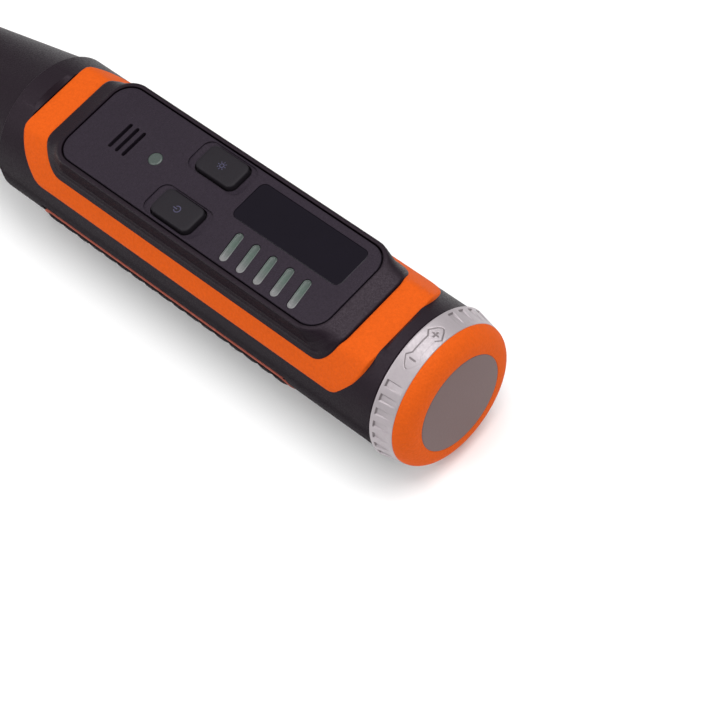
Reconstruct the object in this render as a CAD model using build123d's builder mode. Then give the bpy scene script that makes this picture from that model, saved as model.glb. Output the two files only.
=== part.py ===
# Handheld non-contact voltage tester with a rotating sensitivity dial.
# The tool lies along X with the dial at +X and the probe tip at -X, console up.
# The origin is under the middle of the tool, on the surface that it rests on. Millimetres.
from math import acos, atan2, cos, hypot, sin
import os

from build123d import *

# ---------------------------------------------------------------- driving dimensions
LENGTH = 186.0            # dial face to probe tip
AXIS_H = 17.6             # height of the round body's axis above the resting face
BODY_R = 16.4             # outer radius of the round body
CORE_R = 14.0             # radius of the body under the soft accent band
CAVITY_R = 12.8           # inside of both housing halves
PARTING = -1.0            # height of the joint between the halves, from the axis
BODY_BACK = 8.7           # station of the body's tail face (stations run from the dial face)
BODY_FRONT = 118.0        # station where the probe nose starts
BULKHEAD = 2.2            # thickness of the tail wall

SCREW_STATIONS = (28.0, 109.5)
SCREW_Y = 8.5
SCREW_R, SCREW_HEAD_R, SCREW_WELL_R = 1.1, 2.1, 2.3
SCREW_HEAD_H, SCREW_HEAD_T, SCREW_TOP = -9.0, 1.6, 7.0
SCREW_ROOM = 0.5          # depth of the hole past the screw's end
DRIVE_LENGTH, DRIVE_WIDTH, DRIVE_DEPTH = 2.4, 0.5, 0.8
JOIN = 0.2                # overlap of two pieces of one solid
BOSS_R, UPPER_BOSS_TOP = 2.9, 8.5

BAND_BACK, BAND_FRONT = 12.4, 112.1
BAND_HALF = 15.4          # half width of the accent band
BAND_DECK = 15.0          # height of its flat top
BAND_DECK_HALF = 9.4
BAND_SIDE_TOP = 6.2       # where its sloping shoulder meets its edge
BAND_SHOULDER = (13.35, 9.75)   # half width and height part way down its bulging shoulder
BAND_ROLL = 3.5           # rounding between the deck and the shoulders
BAND_FOOT = 5.5
BAND_CORNER = 8.0

CONSOLE_BACK, CONSOLE_FRONT = 19.5, 105.0
CONSOLE_TOP = 17.0
CONSOLE_HALF = 13.2       # at its foot
CONSOLE_WAIST = 12.2      # above the flared foot
CONSOLE_RIM = 11.85       # at the top
CONSOLE_CORNER = 5.5
CONSOLE_FOOT_H, CONSOLE_FLARE_H = 9.4, 11.2
RIM_SLOPE_RUN = 4.4       # length of the sloping end of the rim
RIM_SLOPE_DROP = 2.0

PLATE_BACK, PLATE_FRONT = 24.6, 99.9
PLATE_HALF = 10.9
PLATE_CORNER = 4.4
PLATE_TOP, PLATE_T = 16.9, 1.6
PLATE_GROOVE = 0.35       # shadow gap round the faceplate
PLATE_ROUND = 0.2
LEDGE = 0.8               # ledge that carries the faceplate
RIM_ROUND = 0.5

WINDOW_BACK, WINDOW_FRONT = 28.1, 57.9
WINDOW_NEAR, WINDOW_FAR = -0.84, 9.1
WINDOW_CORNER = 1.6
WINDOW_TOP = 16.82
DISPLAY_Y, DISPLAY_WIDTH = 4.1, 10.6
DISPLAY_FRAME, DISPLAY_RECESS = 3.0, 0.3

BAR_COUNT = 5
BAR_PITCH = 4.72
BAR_FIRST = 33.3          # station of the middle of the bar nearest the dial
BAR_MIDDLE_Y = -6.33
BAR_LENGTH, BAR_WIDTH = 7.4, 2.0
BAR_TILT = 9.2            # the bars lean towards the dial at their outer ends
BAR_TOP = 16.75
BAR_ROUND = 0.25

BUTTON_STATION = 67.2
BUTTON_Y = 6.55
BUTTON_LENGTH, BUTTON_WIDTH = 10.8, 6.5
BUTTON_CORNER = 1.5
BUTTON_TOP = 17.75
BUTTON_GAP = 0.4
BUTTON_TRAVEL = 0.5
BUTTON_FLANGE_TOP = 15.25
BUTTON_FOOT = 14.6
BUTTON_ROUND = 0.45
BUTTON_FLANGE = 0.9       # how far the flange stands out at each end
RECESS_LENGTH, RECESS_WIDTH, RECESS_CORNER = 15.2, 7.9, 2.3
RECESS_DEPTH = 0.35

DOOR_BACK, DOOR_FRONT = 33.0, 106.0
DOOR_TOP = -1.3           # upper edge of the door's trim
DOOR_INNER_R = 14.9
DOOR_SEAT_R = 14.7
TRIM_WIDTH = 0.6
TRIM_GAP = 0.1
REST_HALF = 6.5           # half width of the flat underside
RIB_PITCH = 4.2
RIB_WIDTH = 2.3
RIB_HEIGHT = 0.55
RIB_PROUD = 0.35
TRIM_PROUD = 0.15
TRIM_FOOT = 0.25
DOOR_SCREW_STATION = 38.0
DOOR_SCREW_R, DOOR_SCREW_HEAD_R = 1.2, 2.6
DOOR_SCREW_SEAT = -15.6
DOOR_SCREW_HEAD_T, DOOR_SCREW_SLOT = 1.3, 0.9
DOOR_SCREW_PLAY, DOOR_WELL_PLAY = 0.1, 0.3

DIAL_FACE_R = 10.95       # flat end disc
DIAL_CAP_R = 16.0         # widest part of the soft cap
DIAL_CAP_DEPTH = 3.4
DIAL_RING_R = 17.0
DIAL_BACK = 8.4
DIAL_BORE_R = 14.0
DIAL_EDGE = 0.3           # bevel of the ring's back edge
DIAL_WEB = 2.0            # thickness of the ring's web and of its hub's wall
DIAL_CAP_BULGE = (1.1, 14.2)   # station and radius half way round the cap's curve
DISC_BEVEL = 0.15
SEAL_R, SEAL_BORE_R, SEAL_T = 13.4, 12.0, 0.7
SHAFT_R = 3.0
SHAFT_FIT = 0.05          # radial running clearance
SHAFT_BACK, SHAFT_FRONT = 2.4, 18.0
DISC_T = 0.9
DIAL_HUB_END = 6.8
BUSHING_R = 4.4
NUT_R, NUT_BACK = 6.4, 7.1
POT_R, POT_BACK, POT_FRONT = 8.0, 12.0, 20.0

NOSE_FRONT = 150.0
NOSE_BACK_R = 15.7
NOSE_WALL = 1.5
NOSE_WIDTH, NOSE_HEIGHT, NOSE_CORNER = 18.0, 17.0, 6.0
NOSE_ROUND, NOSE_FACE_T = 1.2, 2.0
SPIGOT_LENGTH, SPIGOT_T, SPIGOT_ROOT = 5.0, 1.2, 2.0
TIP_PLUG_LENGTH = 3.0
TIP_PLUG = (9.0, 6.2, 2.0)
TIP_BASE = (10.6, 7.6, 2.6)
TIP_END = (6.4, 4.4, 1.8)
TIP_NIB = (3.6, 1.8, 0.8)
TIP_TAPER_END = 183.8
TIP_H = 3.4               # the probe's axis above the body's axis
TORCH_H = -4.3
TORCH_LENS_R = 3.4

CELL_R, CELL_LENGTH = 5.2, 44.5
CELL_Y, CELL_H = 5.3, -7.0
CELL_NUB = 0.9
BAY_BACK, BAY_FRONT, BAY_HALF = 43.0, 93.5, 11.6
TRAY_BACK, TRAY_FRONT = 44.8, 92.0
TRAY_TOP, TRAY_FOOT = -0.6, -12.0
CONTACT_T, CONTACT_SIZE = 0.4, (8.0, 8.0, 1.0)
TRAY_PLAY, TRAY_WALL = 0.3, 1.0
TRAY_CORNER, BAY_CORNER = 1.5, 2.0
NUB_R, SPRING_R, SPRING_BORE_R = 1.9, 3.0, 2.2
BOARD_TOP, BOARD_T = 12.2, 1.2
BOARD_BACK, BOARD_FRONT, BOARD_HALF = 26.5, 97.0, 9.6
BOARD_CORNER = 1.5
LED_T, LED_SIZE = 0.6, (1.2, 2.0)
SWITCH_SIZE, SWITCH_T = 6.0, 1.2
PLUNGER_R, PLUNGER_PLAY = 1.7, 0.1
ALERT_STATION, ALERT_R, ALERT_PROUD = 80.5, 1.6, 0.15
ALERT_ROUND = 0.4
SOUND_STATION, SOUND_SLOTS, SOUND_PITCH = 87.0, 3, 2.0
SOUND_SLOT = (7.0, 0.9)
BUZZER_R, BUZZER_T = 6.0, 3.4
BUZZER_HOLE_R, BUZZER_HOLE_DEPTH = 1.2, 1.0
SENSOR_BACK, SENSOR_FRONT, SENSOR_WIDTH = 121.0, 141.0, 12.0
ANTENNA_R, ANTENNA_FIT = 0.7, 0.05
ANTENNA_START, ANTENNA_END = 137.0, 181.5
BORE_END = 182.0          # end of the bore in the tip that takes the antenna
LENS_T = 1.0
BOWL_R, BOWL_DEPTH, BOWL_LENGTH = 2.9, 4.0, 3.2   # the torch's reflector
BOWL_FLOOR_R, LED_HOLE_R = 1.8, 1.6
TORCH_LED_R, TORCH_LED_STATION, TORCH_LED_ROUND = 1.5, 145.5, 1.2
TORCH_LED_LENGTH = 4.0


def at(station):
    """X of a station measured from the dial's face towards the probe."""
    return LENGTH / 2 - station


def across(station):
    """Plane across the tool: local x is Y, local y is height from the axis, out is the dial."""
    return Plane(origin=(at(station), 0, AXIS_H), x_dir=(0, 1, 0), z_dir=(1, 0, 0))


def level(height):
    """Horizontal plane at a height from the axis: local x is X, local y is Y."""
    return Plane(origin=(0, 0, AXIS_H + height), x_dir=(1, 0, 0), z_dir=(0, 0, 1))


def middle(back, front):
    return at((back + front) / 2)


def keep(part, name):
    part.label = name
    export_step(part, f"parts/{name}.step")


def plan_block(back, front, half, corner, low, high):
    """Upright block with a rounded rectangular plan, between two heights."""
    with BuildPart() as block:
        with BuildSketch(level(low)):
            with Locations((middle(back, front), 0)):
                RectangleRounded(front - back, 2 * half, corner)
        extrude(amount=high - low)
    return block.part


def bar_block(radius, back, front):
    """Round bar on the tool's axis between two stations."""
    with BuildPart() as bar:
        with BuildSketch(across(front)):
            Circle(radius)
        extrude(amount=front - back)
    return bar.part


def side_block(low, high, back=0.0, front=LENGTH, half=40.0):
    """Box across the whole tool between two heights and two stations."""
    with BuildPart() as block:
        with BuildSketch(level(low)):
            with Locations((middle(back, front), 0)):
                Rectangle(front - back, 2 * half)
        extrude(amount=high - low)
    return block.part


# ---------------------------------------------------------------- shared forms
def console_form():
    """Raised console: flared foot, drafted walls and a rim that slopes away at both ends."""
    length = CONSOLE_FRONT - CONSOLE_BACK
    centre = middle(CONSOLE_BACK, CONSOLE_FRONT)
    steps = [
        (BAND_FOOT, CONSOLE_HALF),
        (CONSOLE_FOOT_H, CONSOLE_HALF),
        (CONSOLE_FLARE_H, CONSOLE_WAIST),
        (CONSOLE_TOP, CONSOLE_RIM),
    ]
    with BuildPart() as form:
        for (low, low_half), (high, high_half) in zip(steps, steps[1:]):
            with BuildSketch(level(low)):
                with Locations((centre, 0)):
                    RectangleRounded(length, 2 * low_half, CONSOLE_CORNER)
            with BuildSketch(level(high)):
                with Locations((centre, 0)):
                    RectangleRounded(length, 2 * high_half, CONSOLE_CORNER)
            loft(ruled=True)
        for end, inward in ((CONSOLE_BACK, -1), (CONSOLE_FRONT, 1)):
            with BuildSketch(Plane.XZ.offset(-CONSOLE_HALF - 1)):
                with BuildLine():
                    Polyline(
                        (at(end), AXIS_H + CONSOLE_TOP - RIM_SLOPE_DROP),
                        (at(end) + inward * RIM_SLOPE_RUN, AXIS_H + CONSOLE_TOP),
                        (at(end) + inward * RIM_SLOPE_RUN, AXIS_H + CONSOLE_TOP + 1),
                        (at(end) - inward, AXIS_H + CONSOLE_TOP + 1),
                        (at(end) - inward, AXIS_H + CONSOLE_TOP - RIM_SLOPE_DROP),
                        close=True,
                    )
                make_face()
            extrude(amount=2 * CONSOLE_HALF + 2, mode=Mode.SUBTRACT)
        rim = form.faces().sort_by(Axis.Z)[-1]
        fillet(rim.edges(), RIM_ROUND)
    return form.part


def band_form():
    """Outer form of the accent band, before the body and the console are taken out of it."""
    with BuildPart() as form:
        with BuildSketch(across(BAND_FRONT)) as profile:
            with BuildLine():
                Polyline(
                    (-BAND_HALF, BAND_FOOT),
                    (-BAND_HALF, BAND_SIDE_TOP),
                    (-BAND_SHOULDER[0], BAND_SHOULDER[1]),
                    (-BAND_DECK_HALF, BAND_DECK),
                    (BAND_DECK_HALF, BAND_DECK),
                    BAND_SHOULDER,
                    (BAND_HALF, BAND_SIDE_TOP),
                    (BAND_HALF, BAND_FOOT),
                    close=True,
                )
            make_face()
            fillet(profile.vertices().group_by(Axis.Y)[-1], BAND_ROLL)
        extrude(amount=BAND_FRONT - BAND_BACK)
        outline = plan_block(BAND_BACK, BAND_FRONT, BAND_HALF, BAND_CORNER, BAND_FOOT, BAND_DECK + 1)
        add(outline, mode=Mode.INTERSECT)
    return form.part


def underside_block(radius, foot, back, front):
    """Length of the underside: a round section that runs down tangentially to a flat foot."""
    angle = atan2(foot, REST_HALF) + acos(radius / hypot(REST_HALF, foot))
    touch = (radius * cos(angle), radius * sin(angle))
    with BuildPart() as block:
        with BuildSketch(across(front)):
            Circle(radius)
            with BuildLine():
                Polyline(
                    touch, (REST_HALF, foot), (-REST_HALF, foot), (-touch[0], touch[1]), close=True
                )
            make_face()
        extrude(amount=front - back)
    return block.part


def turned(*outline):
    """Solid of revolution about the tool's axis from (station, radius) points."""
    with BuildPart() as solid:
        with BuildSketch(Plane.XZ):
            with BuildLine():
                Polyline(*[(at(station), AXIS_H + radius) for station, radius in outline], close=True)
            make_face()
        revolve(axis=Axis((0, 0, AXIS_H), (1, 0, 0)))
    return solid.part


def tapered(back, front, back_size, front_size, height_back=0.0, height_front=0.0):
    """Loft between two rounded rectangles (width, height, corner) across the tool."""
    with BuildPart() as solid:
        with BuildSketch(across(back)):
            with Locations((0, height_back)):
                RectangleRounded(*back_size)
        with BuildSketch(across(front)):
            with Locations((0, height_front)):
                RectangleRounded(*front_size)
        loft(ruled=True)
    return solid.part


def upright_pins(radius, low, high, places):
    """Upright round pins at (station, y) places."""
    with BuildPart() as pins:
        with BuildSketch(level(low)):
            with Locations([(at(station), y) for station, y in places]):
                Circle(radius)
        extrude(amount=high - low)
    return pins.part


# ---------------------------------------------------------------- shared forms, built once
console = console_form()
band_outer = band_form()
core = bar_block(CORE_R, 0, LENGTH)

console_ceiling = PLATE_TOP - PLATE_T
door_screw_place = [(DOOR_SCREW_STATION, 0)]
screw_places = [(station, side * SCREW_Y) for station in SCREW_STATIONS for side in (-1, 1)]
button_places = [(at(BUTTON_STATION), side * BUTTON_Y) for side in (-1, 1)]
bar_places = [(at(BAR_FIRST + BAR_PITCH * i), BAR_MIDDLE_Y) for i in range(BAR_COUNT)]
window_centre = (middle(WINDOW_BACK, WINDOW_FRONT), (WINDOW_NEAR + WINDOW_FAR) / 2)
window_size = (WINDOW_FRONT - WINDOW_BACK, WINDOW_FAR - WINDOW_NEAR)

# ---------------------------------------------------------------- housing halves
cavity_back = BODY_BACK + BULKHEAD

with BuildPart() as housing_cavity:
    add(bar_block(CAVITY_R, cavity_back, BODY_FRONT + 1))
    add(
        plan_block(
            PLATE_BACK + LEDGE,
            PLATE_FRONT - LEDGE,
            PLATE_HALF - LEDGE,
            PLATE_CORNER - LEDGE,
            0,
            console_ceiling,
        )
    )
    add(bar_block(BUSHING_R + 0.1, 0, cavity_back + 1))

with BuildPart() as band_bed:
    add(band_outer)
    add(plan_block(BAND_BACK, BAND_FRONT, BAND_HALF, BAND_CORNER, BAND_DECK, BODY_R + 1))
    add(core, mode=Mode.SUBTRACT)

with BuildPart() as upper_housing:
    add(bar_block(BODY_R, BODY_BACK, BODY_FRONT))
    add(band_bed.part, mode=Mode.SUBTRACT)
    add(console)
    add(housing_cavity.part, mode=Mode.SUBTRACT)
    add(
        plan_block(
            PLATE_BACK - PLATE_GROOVE,
            PLATE_FRONT + PLATE_GROOVE,
            PLATE_HALF + PLATE_GROOVE,
            PLATE_CORNER + PLATE_GROOVE,
            console_ceiling,
            CONSOLE_TOP + 1,
        ),
        mode=Mode.SUBTRACT,
    )
    add(upright_pins(BOSS_R, PARTING, UPPER_BOSS_TOP, screw_places))
    add(upright_pins(SCREW_R, PARTING, SCREW_TOP, screw_places), mode=Mode.SUBTRACT)
    add(side_block(-BODY_R - 1, PARTING), mode=Mode.SUBTRACT)
keep(upper_housing.part, "upper_housing")

with BuildPart() as lower_bosses:
    add(upright_pins(BOSS_R, -BODY_R, PARTING, screw_places))
    add(bar_block(BODY_R, BODY_BACK, BODY_FRONT), mode=Mode.INTERSECT)

with BuildPart() as lower_housing:
    add(bar_block(BODY_R, BODY_BACK, BODY_FRONT))
    add(housing_cavity.part, mode=Mode.SUBTRACT)
    add(side_block(PARTING, BODY_R + 5), mode=Mode.SUBTRACT)
    add(lower_bosses.part)
    add(upright_pins(SCREW_R, -BODY_R - 1, PARTING, screw_places), mode=Mode.SUBTRACT)
    add(upright_pins(SCREW_WELL_R, -BODY_R - 1, SCREW_HEAD_H, screw_places), mode=Mode.SUBTRACT)
    with BuildSketch(across(DOOR_FRONT + TRIM_GAP)):
        Circle(BODY_R + 1)
        Circle(DOOR_SEAT_R, mode=Mode.SUBTRACT)
        with Locations((0, DOOR_TOP + TRIM_GAP + BODY_R)):
            Rectangle(4 * BODY_R, 2 * BODY_R, mode=Mode.SUBTRACT)
    extrude(amount=DOOR_FRONT - DOOR_BACK + 2 * TRIM_GAP, mode=Mode.SUBTRACT)
    add(
        plan_block(BAY_BACK, BAY_FRONT, BAY_HALF, BAY_CORNER, -BODY_R, PARTING + 1),
        mode=Mode.SUBTRACT,
    )
    add(
        upright_pins(DOOR_SCREW_R, -BODY_R - 1, -CAVITY_R + 1, door_screw_place),
        mode=Mode.SUBTRACT,
    )
keep(lower_housing.part, "lower_housing")

with BuildPart() as housing_screws:
    add(upright_pins(SCREW_R, SCREW_HEAD_H - JOIN, SCREW_TOP - SCREW_ROOM, screw_places))
    add(upright_pins(SCREW_HEAD_R, SCREW_HEAD_H - SCREW_HEAD_T, SCREW_HEAD_H, screw_places))
    with BuildSketch(level(SCREW_HEAD_H - SCREW_HEAD_T)):
        with Locations([(at(station), y) for station, y in screw_places]):
            Rectangle(DRIVE_LENGTH, DRIVE_WIDTH)
            Rectangle(DRIVE_WIDTH, DRIVE_LENGTH)
    extrude(amount=DRIVE_DEPTH, mode=Mode.SUBTRACT)
keep(housing_screws.part, "housing_screws")

# ---------------------------------------------------------------- accent band
with BuildPart() as accent_band:
    add(band_outer)
    add(core, mode=Mode.SUBTRACT)
    add(console, mode=Mode.SUBTRACT)
keep(accent_band.part, "accent_band")

# ---------------------------------------------------------------- battery door and its trim
door_edge = DOOR_TOP - TRIM_WIDTH - TRIM_GAP
door_back = DOOR_BACK + TRIM_WIDTH + TRIM_GAP
door_front = DOOR_FRONT - TRIM_WIDTH - TRIM_GAP
rib_count = int((door_front - door_back - RIB_WIDTH) / RIB_PITCH) + 1
first_rib = (door_back + door_front - (rib_count - 1) * RIB_PITCH - RIB_WIDTH) / 2

with BuildPart() as battery_door:
    add(underside_block(BODY_R, RIB_HEIGHT - AXIS_H, door_back, door_front))
    for rib in range(rib_count):
        rib_back = first_rib + rib * RIB_PITCH
        add(underside_block(BODY_R + RIB_PROUD, -AXIS_H, rib_back, rib_back + RIB_WIDTH))
    add(bar_block(DOOR_INNER_R, DOOR_BACK - 1, DOOR_FRONT + 1), mode=Mode.SUBTRACT)
    add(side_block(door_edge, BODY_R + 5), mode=Mode.SUBTRACT)
    add(
        upright_pins(DOOR_SCREW_HEAD_R + DOOR_WELL_PLAY, -AXIS_H, DOOR_SCREW_SEAT, door_screw_place),
        mode=Mode.SUBTRACT,
    )
    add(
        upright_pins(DOOR_SCREW_R + DOOR_SCREW_PLAY, -AXIS_H, -DOOR_SEAT_R, door_screw_place),
        mode=Mode.SUBTRACT,
    )
keep(battery_door.part, "battery_door")

with BuildPart() as door_trim:
    add(underside_block(BODY_R + TRIM_PROUD, TRIM_FOOT - AXIS_H, DOOR_BACK, DOOR_FRONT))
    add(bar_block(DOOR_INNER_R, DOOR_BACK - 1, DOOR_FRONT + 1), mode=Mode.SUBTRACT)
    add(side_block(DOOR_TOP, BODY_R + 5), mode=Mode.SUBTRACT)
    add(
        side_block(
            -AXIS_H, DOOR_TOP - TRIM_WIDTH, DOOR_BACK + TRIM_WIDTH, DOOR_FRONT - TRIM_WIDTH
        ),
        mode=Mode.SUBTRACT,
    )
keep(door_trim.part, "door_trim")

with BuildPart() as door_screw:
    add(
        upright_pins(
            DOOR_SCREW_HEAD_R,
            DOOR_SCREW_SEAT - DOOR_SCREW_HEAD_T,
            DOOR_SCREW_SEAT,
            door_screw_place,
        )
    )
    add(upright_pins(DOOR_SCREW_R, DOOR_SCREW_SEAT - JOIN, -CAVITY_R, door_screw_place))
    with BuildSketch(level(DOOR_SCREW_SEAT - DOOR_SCREW_HEAD_T)):
        with Locations((at(DOOR_SCREW_STATION), 0)):
            Rectangle(DOOR_SCREW_SLOT, 2 * DOOR_SCREW_HEAD_R)
    extrude(amount=DRIVE_DEPTH, mode=Mode.SUBTRACT)
keep(door_screw.part, "door_screw")

# ---------------------------------------------------------------- faceplate and what shows in it
with BuildPart() as console_faceplate:
    add(
        plan_block(PLATE_BACK, PLATE_FRONT, PLATE_HALF, PLATE_CORNER, console_ceiling, PLATE_TOP)
    )
    fillet(console_faceplate.faces().sort_by(Axis.Z)[-1].edges(), PLATE_ROUND)
    with BuildSketch(level(PLATE_TOP - RECESS_DEPTH)):
        with Locations(*[(x, y) for x, y in button_places]):
            RectangleRounded(RECESS_LENGTH, RECESS_WIDTH, RECESS_CORNER)
    extrude(amount=RECESS_DEPTH + 1, mode=Mode.SUBTRACT)
    with BuildSketch(level(console_ceiling)):
        with Locations(window_centre):
            RectangleRounded(*window_size, WINDOW_CORNER)
        with Locations(*bar_places):
            SlotOverall(BAR_LENGTH, BAR_WIDTH, rotation=90 + BAR_TILT)
        with Locations(*button_places):
            RectangleRounded(
                BUTTON_LENGTH + 2 * BUTTON_GAP,
                BUTTON_WIDTH + 2 * BUTTON_GAP,
                BUTTON_CORNER + BUTTON_GAP,
            )
        with Locations((at(ALERT_STATION), 0)):
            Circle(ALERT_R)
        with Locations(*[(at(SOUND_STATION + SOUND_PITCH * i), 0) for i in range(SOUND_SLOTS)]):
            SlotOverall(*SOUND_SLOT, rotation=90)
    extrude(amount=PLATE_T + 1, mode=Mode.SUBTRACT)
keep(console_faceplate.part, "console_faceplate")

with BuildPart() as display_window:
    with BuildSketch(level(console_ceiling)):
        with Locations(window_centre):
            RectangleRounded(*window_size, WINDOW_CORNER)
    extrude(amount=WINDOW_TOP - console_ceiling)
keep(display_window.part, "display_window")

with BuildPart() as display_module:
    with BuildSketch(level(BOARD_TOP)):
        with Locations((window_centre[0], DISPLAY_Y)):
            Rectangle(window_size[0] + 2.0, DISPLAY_WIDTH)
    extrude(amount=console_ceiling - BOARD_TOP)
    with BuildSketch(level(console_ceiling - DISPLAY_RECESS)):
        with Locations(window_centre):
            Rectangle(window_size[0] - DISPLAY_FRAME, window_size[1] - DISPLAY_FRAME)
    extrude(amount=DISPLAY_RECESS, mode=Mode.SUBTRACT)
keep(display_module.part, "display_module")

for number, place in enumerate(bar_places, start=1):
    with BuildPart() as level_light:
        with BuildSketch(level(BOARD_TOP + LED_T)):
            with Locations(place):
                SlotOverall(BAR_LENGTH, BAR_WIDTH, rotation=90 + BAR_TILT)
        extrude(amount=BAR_TOP - BOARD_TOP - LED_T)
        fillet(level_light.faces().sort_by(Axis.Z)[-1].edges(), BAR_ROUND)
    keep(level_light.part, f"level_light_{number}")

with BuildPart() as level_leds:
    with BuildSketch(level(BOARD_TOP)):
        with Locations(*bar_places):
            Rectangle(*LED_SIZE)
    extrude(amount=LED_T)
keep(level_leds.part, "level_leds")

with BuildPart() as alert_lens:
    add(upright_pins(ALERT_R, BOARD_TOP, PLATE_TOP + ALERT_PROUD, [(ALERT_STATION, 0)]))
    fillet(alert_lens.faces().sort_by(Axis.Z)[-1].edges(), ALERT_ROUND)
keep(alert_lens.part, "alert_lens")

# ---------------------------------------------------------------- push buttons and their switches
for name, side in (("power", -1), ("torch", 1)):
    with BuildPart() as button:
        with BuildSketch(level(BUTTON_FLANGE_TOP)):
            with Locations((at(BUTTON_STATION), side * BUTTON_Y)):
                RectangleRounded(BUTTON_LENGTH, BUTTON_WIDTH, BUTTON_CORNER)
        extrude(amount=BUTTON_TOP - BUTTON_FLANGE_TOP)
        fillet(button.faces().sort_by(Axis.Z)[-1].edges(), BUTTON_ROUND)
        with BuildSketch(level(BUTTON_FOOT)):
            with Locations((at(BUTTON_STATION), side * BUTTON_Y)):
                Rectangle(BUTTON_LENGTH + 2 * BUTTON_FLANGE, BUTTON_WIDTH)
        extrude(amount=BUTTON_FLANGE_TOP - BUTTON_FOOT)
    keep(button.part, f"{name}_button")

    with BuildPart() as tact_switch:
        with BuildSketch(level(BOARD_TOP)):
            with Locations((at(BUTTON_STATION), side * BUTTON_Y)):
                Rectangle(SWITCH_SIZE, SWITCH_SIZE)
        extrude(amount=SWITCH_T)
        with BuildSketch(level(BOARD_TOP)):
            with Locations((at(BUTTON_STATION), side * BUTTON_Y)):
                Circle(PLUNGER_R)
        extrude(amount=BUTTON_FOOT - BUTTON_TRAVEL - PLUNGER_PLAY - BOARD_TOP)
    keep(tact_switch.part, f"{name}_switch")

# ---------------------------------------------------------------- electronics
with BuildPart() as main_board:
    add(
        plan_block(
            BOARD_BACK, BOARD_FRONT, BOARD_HALF, BOARD_CORNER, BOARD_TOP - BOARD_T, BOARD_TOP
        )
    )
keep(main_board.part, "main_board")

buzzer_foot = BOARD_TOP - BOARD_T - BUZZER_T
buzzer_place = [(SOUND_STATION + SOUND_PITCH, 0)]
with BuildPart() as buzzer:
    add(upright_pins(BUZZER_R, buzzer_foot, BOARD_TOP - BOARD_T, buzzer_place))
    add(
        upright_pins(BUZZER_HOLE_R, buzzer_foot, buzzer_foot + BUZZER_HOLE_DEPTH, buzzer_place),
        mode=Mode.SUBTRACT,
    )
keep(buzzer.part, "buzzer")

# ---------------------------------------------------------------- batteries
with BuildPart() as battery_tray:
    add(
        plan_block(
            BAY_BACK + TRAY_PLAY,
            BAY_FRONT - TRAY_PLAY,
            BAY_HALF - TRAY_PLAY,
            TRAY_CORNER,
            TRAY_FOOT,
            TRAY_TOP,
        )
    )
    add(
        side_block(-AXIS_H, TRAY_TOP - TRAY_WALL, TRAY_BACK, TRAY_FRONT, BAY_HALF - TRAY_WALL),
        mode=Mode.SUBTRACT,
    )
    add(bar_block(DOOR_INNER_R - TRAY_PLAY, 0, LENGTH), mode=Mode.INTERSECT)
keep(battery_tray.part, "battery_tray")

for number, side in ((1, -1), (2, 1)):
    positive, negative = (TRAY_FRONT, TRAY_BACK) if number == 1 else (TRAY_BACK, TRAY_FRONT)
    way = 1 if number == 1 else -1
    cell_end = positive - way * CONTACT_T
    with BuildPart() as cell:
        for radius, start, length in (
            (NUB_R, cell_end, CELL_NUB),
            (CELL_R, cell_end - way * CELL_NUB, CELL_LENGTH - CELL_NUB),
        ):
            stations = sorted((start, start - way * length))
            with BuildSketch(across(stations[1])):
                with Locations((side * CELL_Y, CELL_H)):
                    Circle(radius)
            extrude(amount=stations[1] - stations[0])
    keep(cell.part, f"battery_cell_{number}")

    spring_stations = sorted((negative + way * CONTACT_T, cell_end - way * CELL_LENGTH))
    with BuildPart() as spring:
        with BuildSketch(across(spring_stations[1])):
            with Locations((side * CELL_Y, CELL_H)):
                Circle(SPRING_R)
                Circle(SPRING_BORE_R, mode=Mode.SUBTRACT)
        extrude(amount=spring_stations[1] - spring_stations[0])
    keep(spring.part, f"battery_spring_{number}")

with BuildPart() as battery_contacts:
    for station in (TRAY_BACK + CONTACT_T, TRAY_FRONT):
        with BuildSketch(across(station)):
            with Locations(*[(side * CELL_Y, CELL_H) for side in (-1, 1)]):
                RectangleRounded(*CONTACT_SIZE)
        extrude(amount=CONTACT_T)
keep(battery_contacts.part, "battery_contacts")

# ---------------------------------------------------------------- sensitivity dial
with BuildPart() as dial_ring:
    add(
        turned(
            (DIAL_CAP_DEPTH, DIAL_CAP_R),
            (DIAL_BACK - DIAL_EDGE, DIAL_RING_R),
            (DIAL_BACK, DIAL_RING_R - DIAL_EDGE),
            (DIAL_BACK, DIAL_BORE_R),
            (DIAL_CAP_DEPTH + DIAL_WEB, DIAL_BORE_R),
            (DIAL_CAP_DEPTH + DIAL_WEB, SHAFT_R + DIAL_WEB),
            (DIAL_HUB_END, SHAFT_R + DIAL_WEB),
            (DIAL_HUB_END, SHAFT_R),
            (DIAL_CAP_DEPTH, SHAFT_R),
        )
    )
keep(dial_ring.part, "dial_ring")

with BuildPart() as dial_cap:
    with BuildSketch(Plane.XZ):
        with BuildLine():
            ThreePointArc(
                (at(DIAL_CAP_DEPTH), AXIS_H + DIAL_CAP_R),
                (at(DIAL_CAP_BULGE[0]), AXIS_H + DIAL_CAP_BULGE[1]),
                (at(0.0), AXIS_H + DIAL_FACE_R),
            )
            Polyline(
                (at(0.0), AXIS_H + DIAL_FACE_R),
                (at(DISC_T), AXIS_H + DIAL_FACE_R),
                (at(DISC_T), AXIS_H),
                (at(SHAFT_BACK), AXIS_H),
                (at(SHAFT_BACK), AXIS_H + SHAFT_R),
                (at(DIAL_CAP_DEPTH), AXIS_H + SHAFT_R),
                (at(DIAL_CAP_DEPTH), AXIS_H + DIAL_CAP_R),
            )
        make_face()
    revolve(axis=Axis((0, 0, AXIS_H), (1, 0, 0)))
keep(dial_cap.part, "dial_cap")

with BuildPart() as dial_end_disc:
    add(bar_block(DIAL_FACE_R, 0, DISC_T))
    chamfer(dial_end_disc.faces().sort_by(Axis.X)[-1].edges(), DISC_BEVEL)
keep(dial_end_disc.part, "dial_end_disc")

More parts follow.
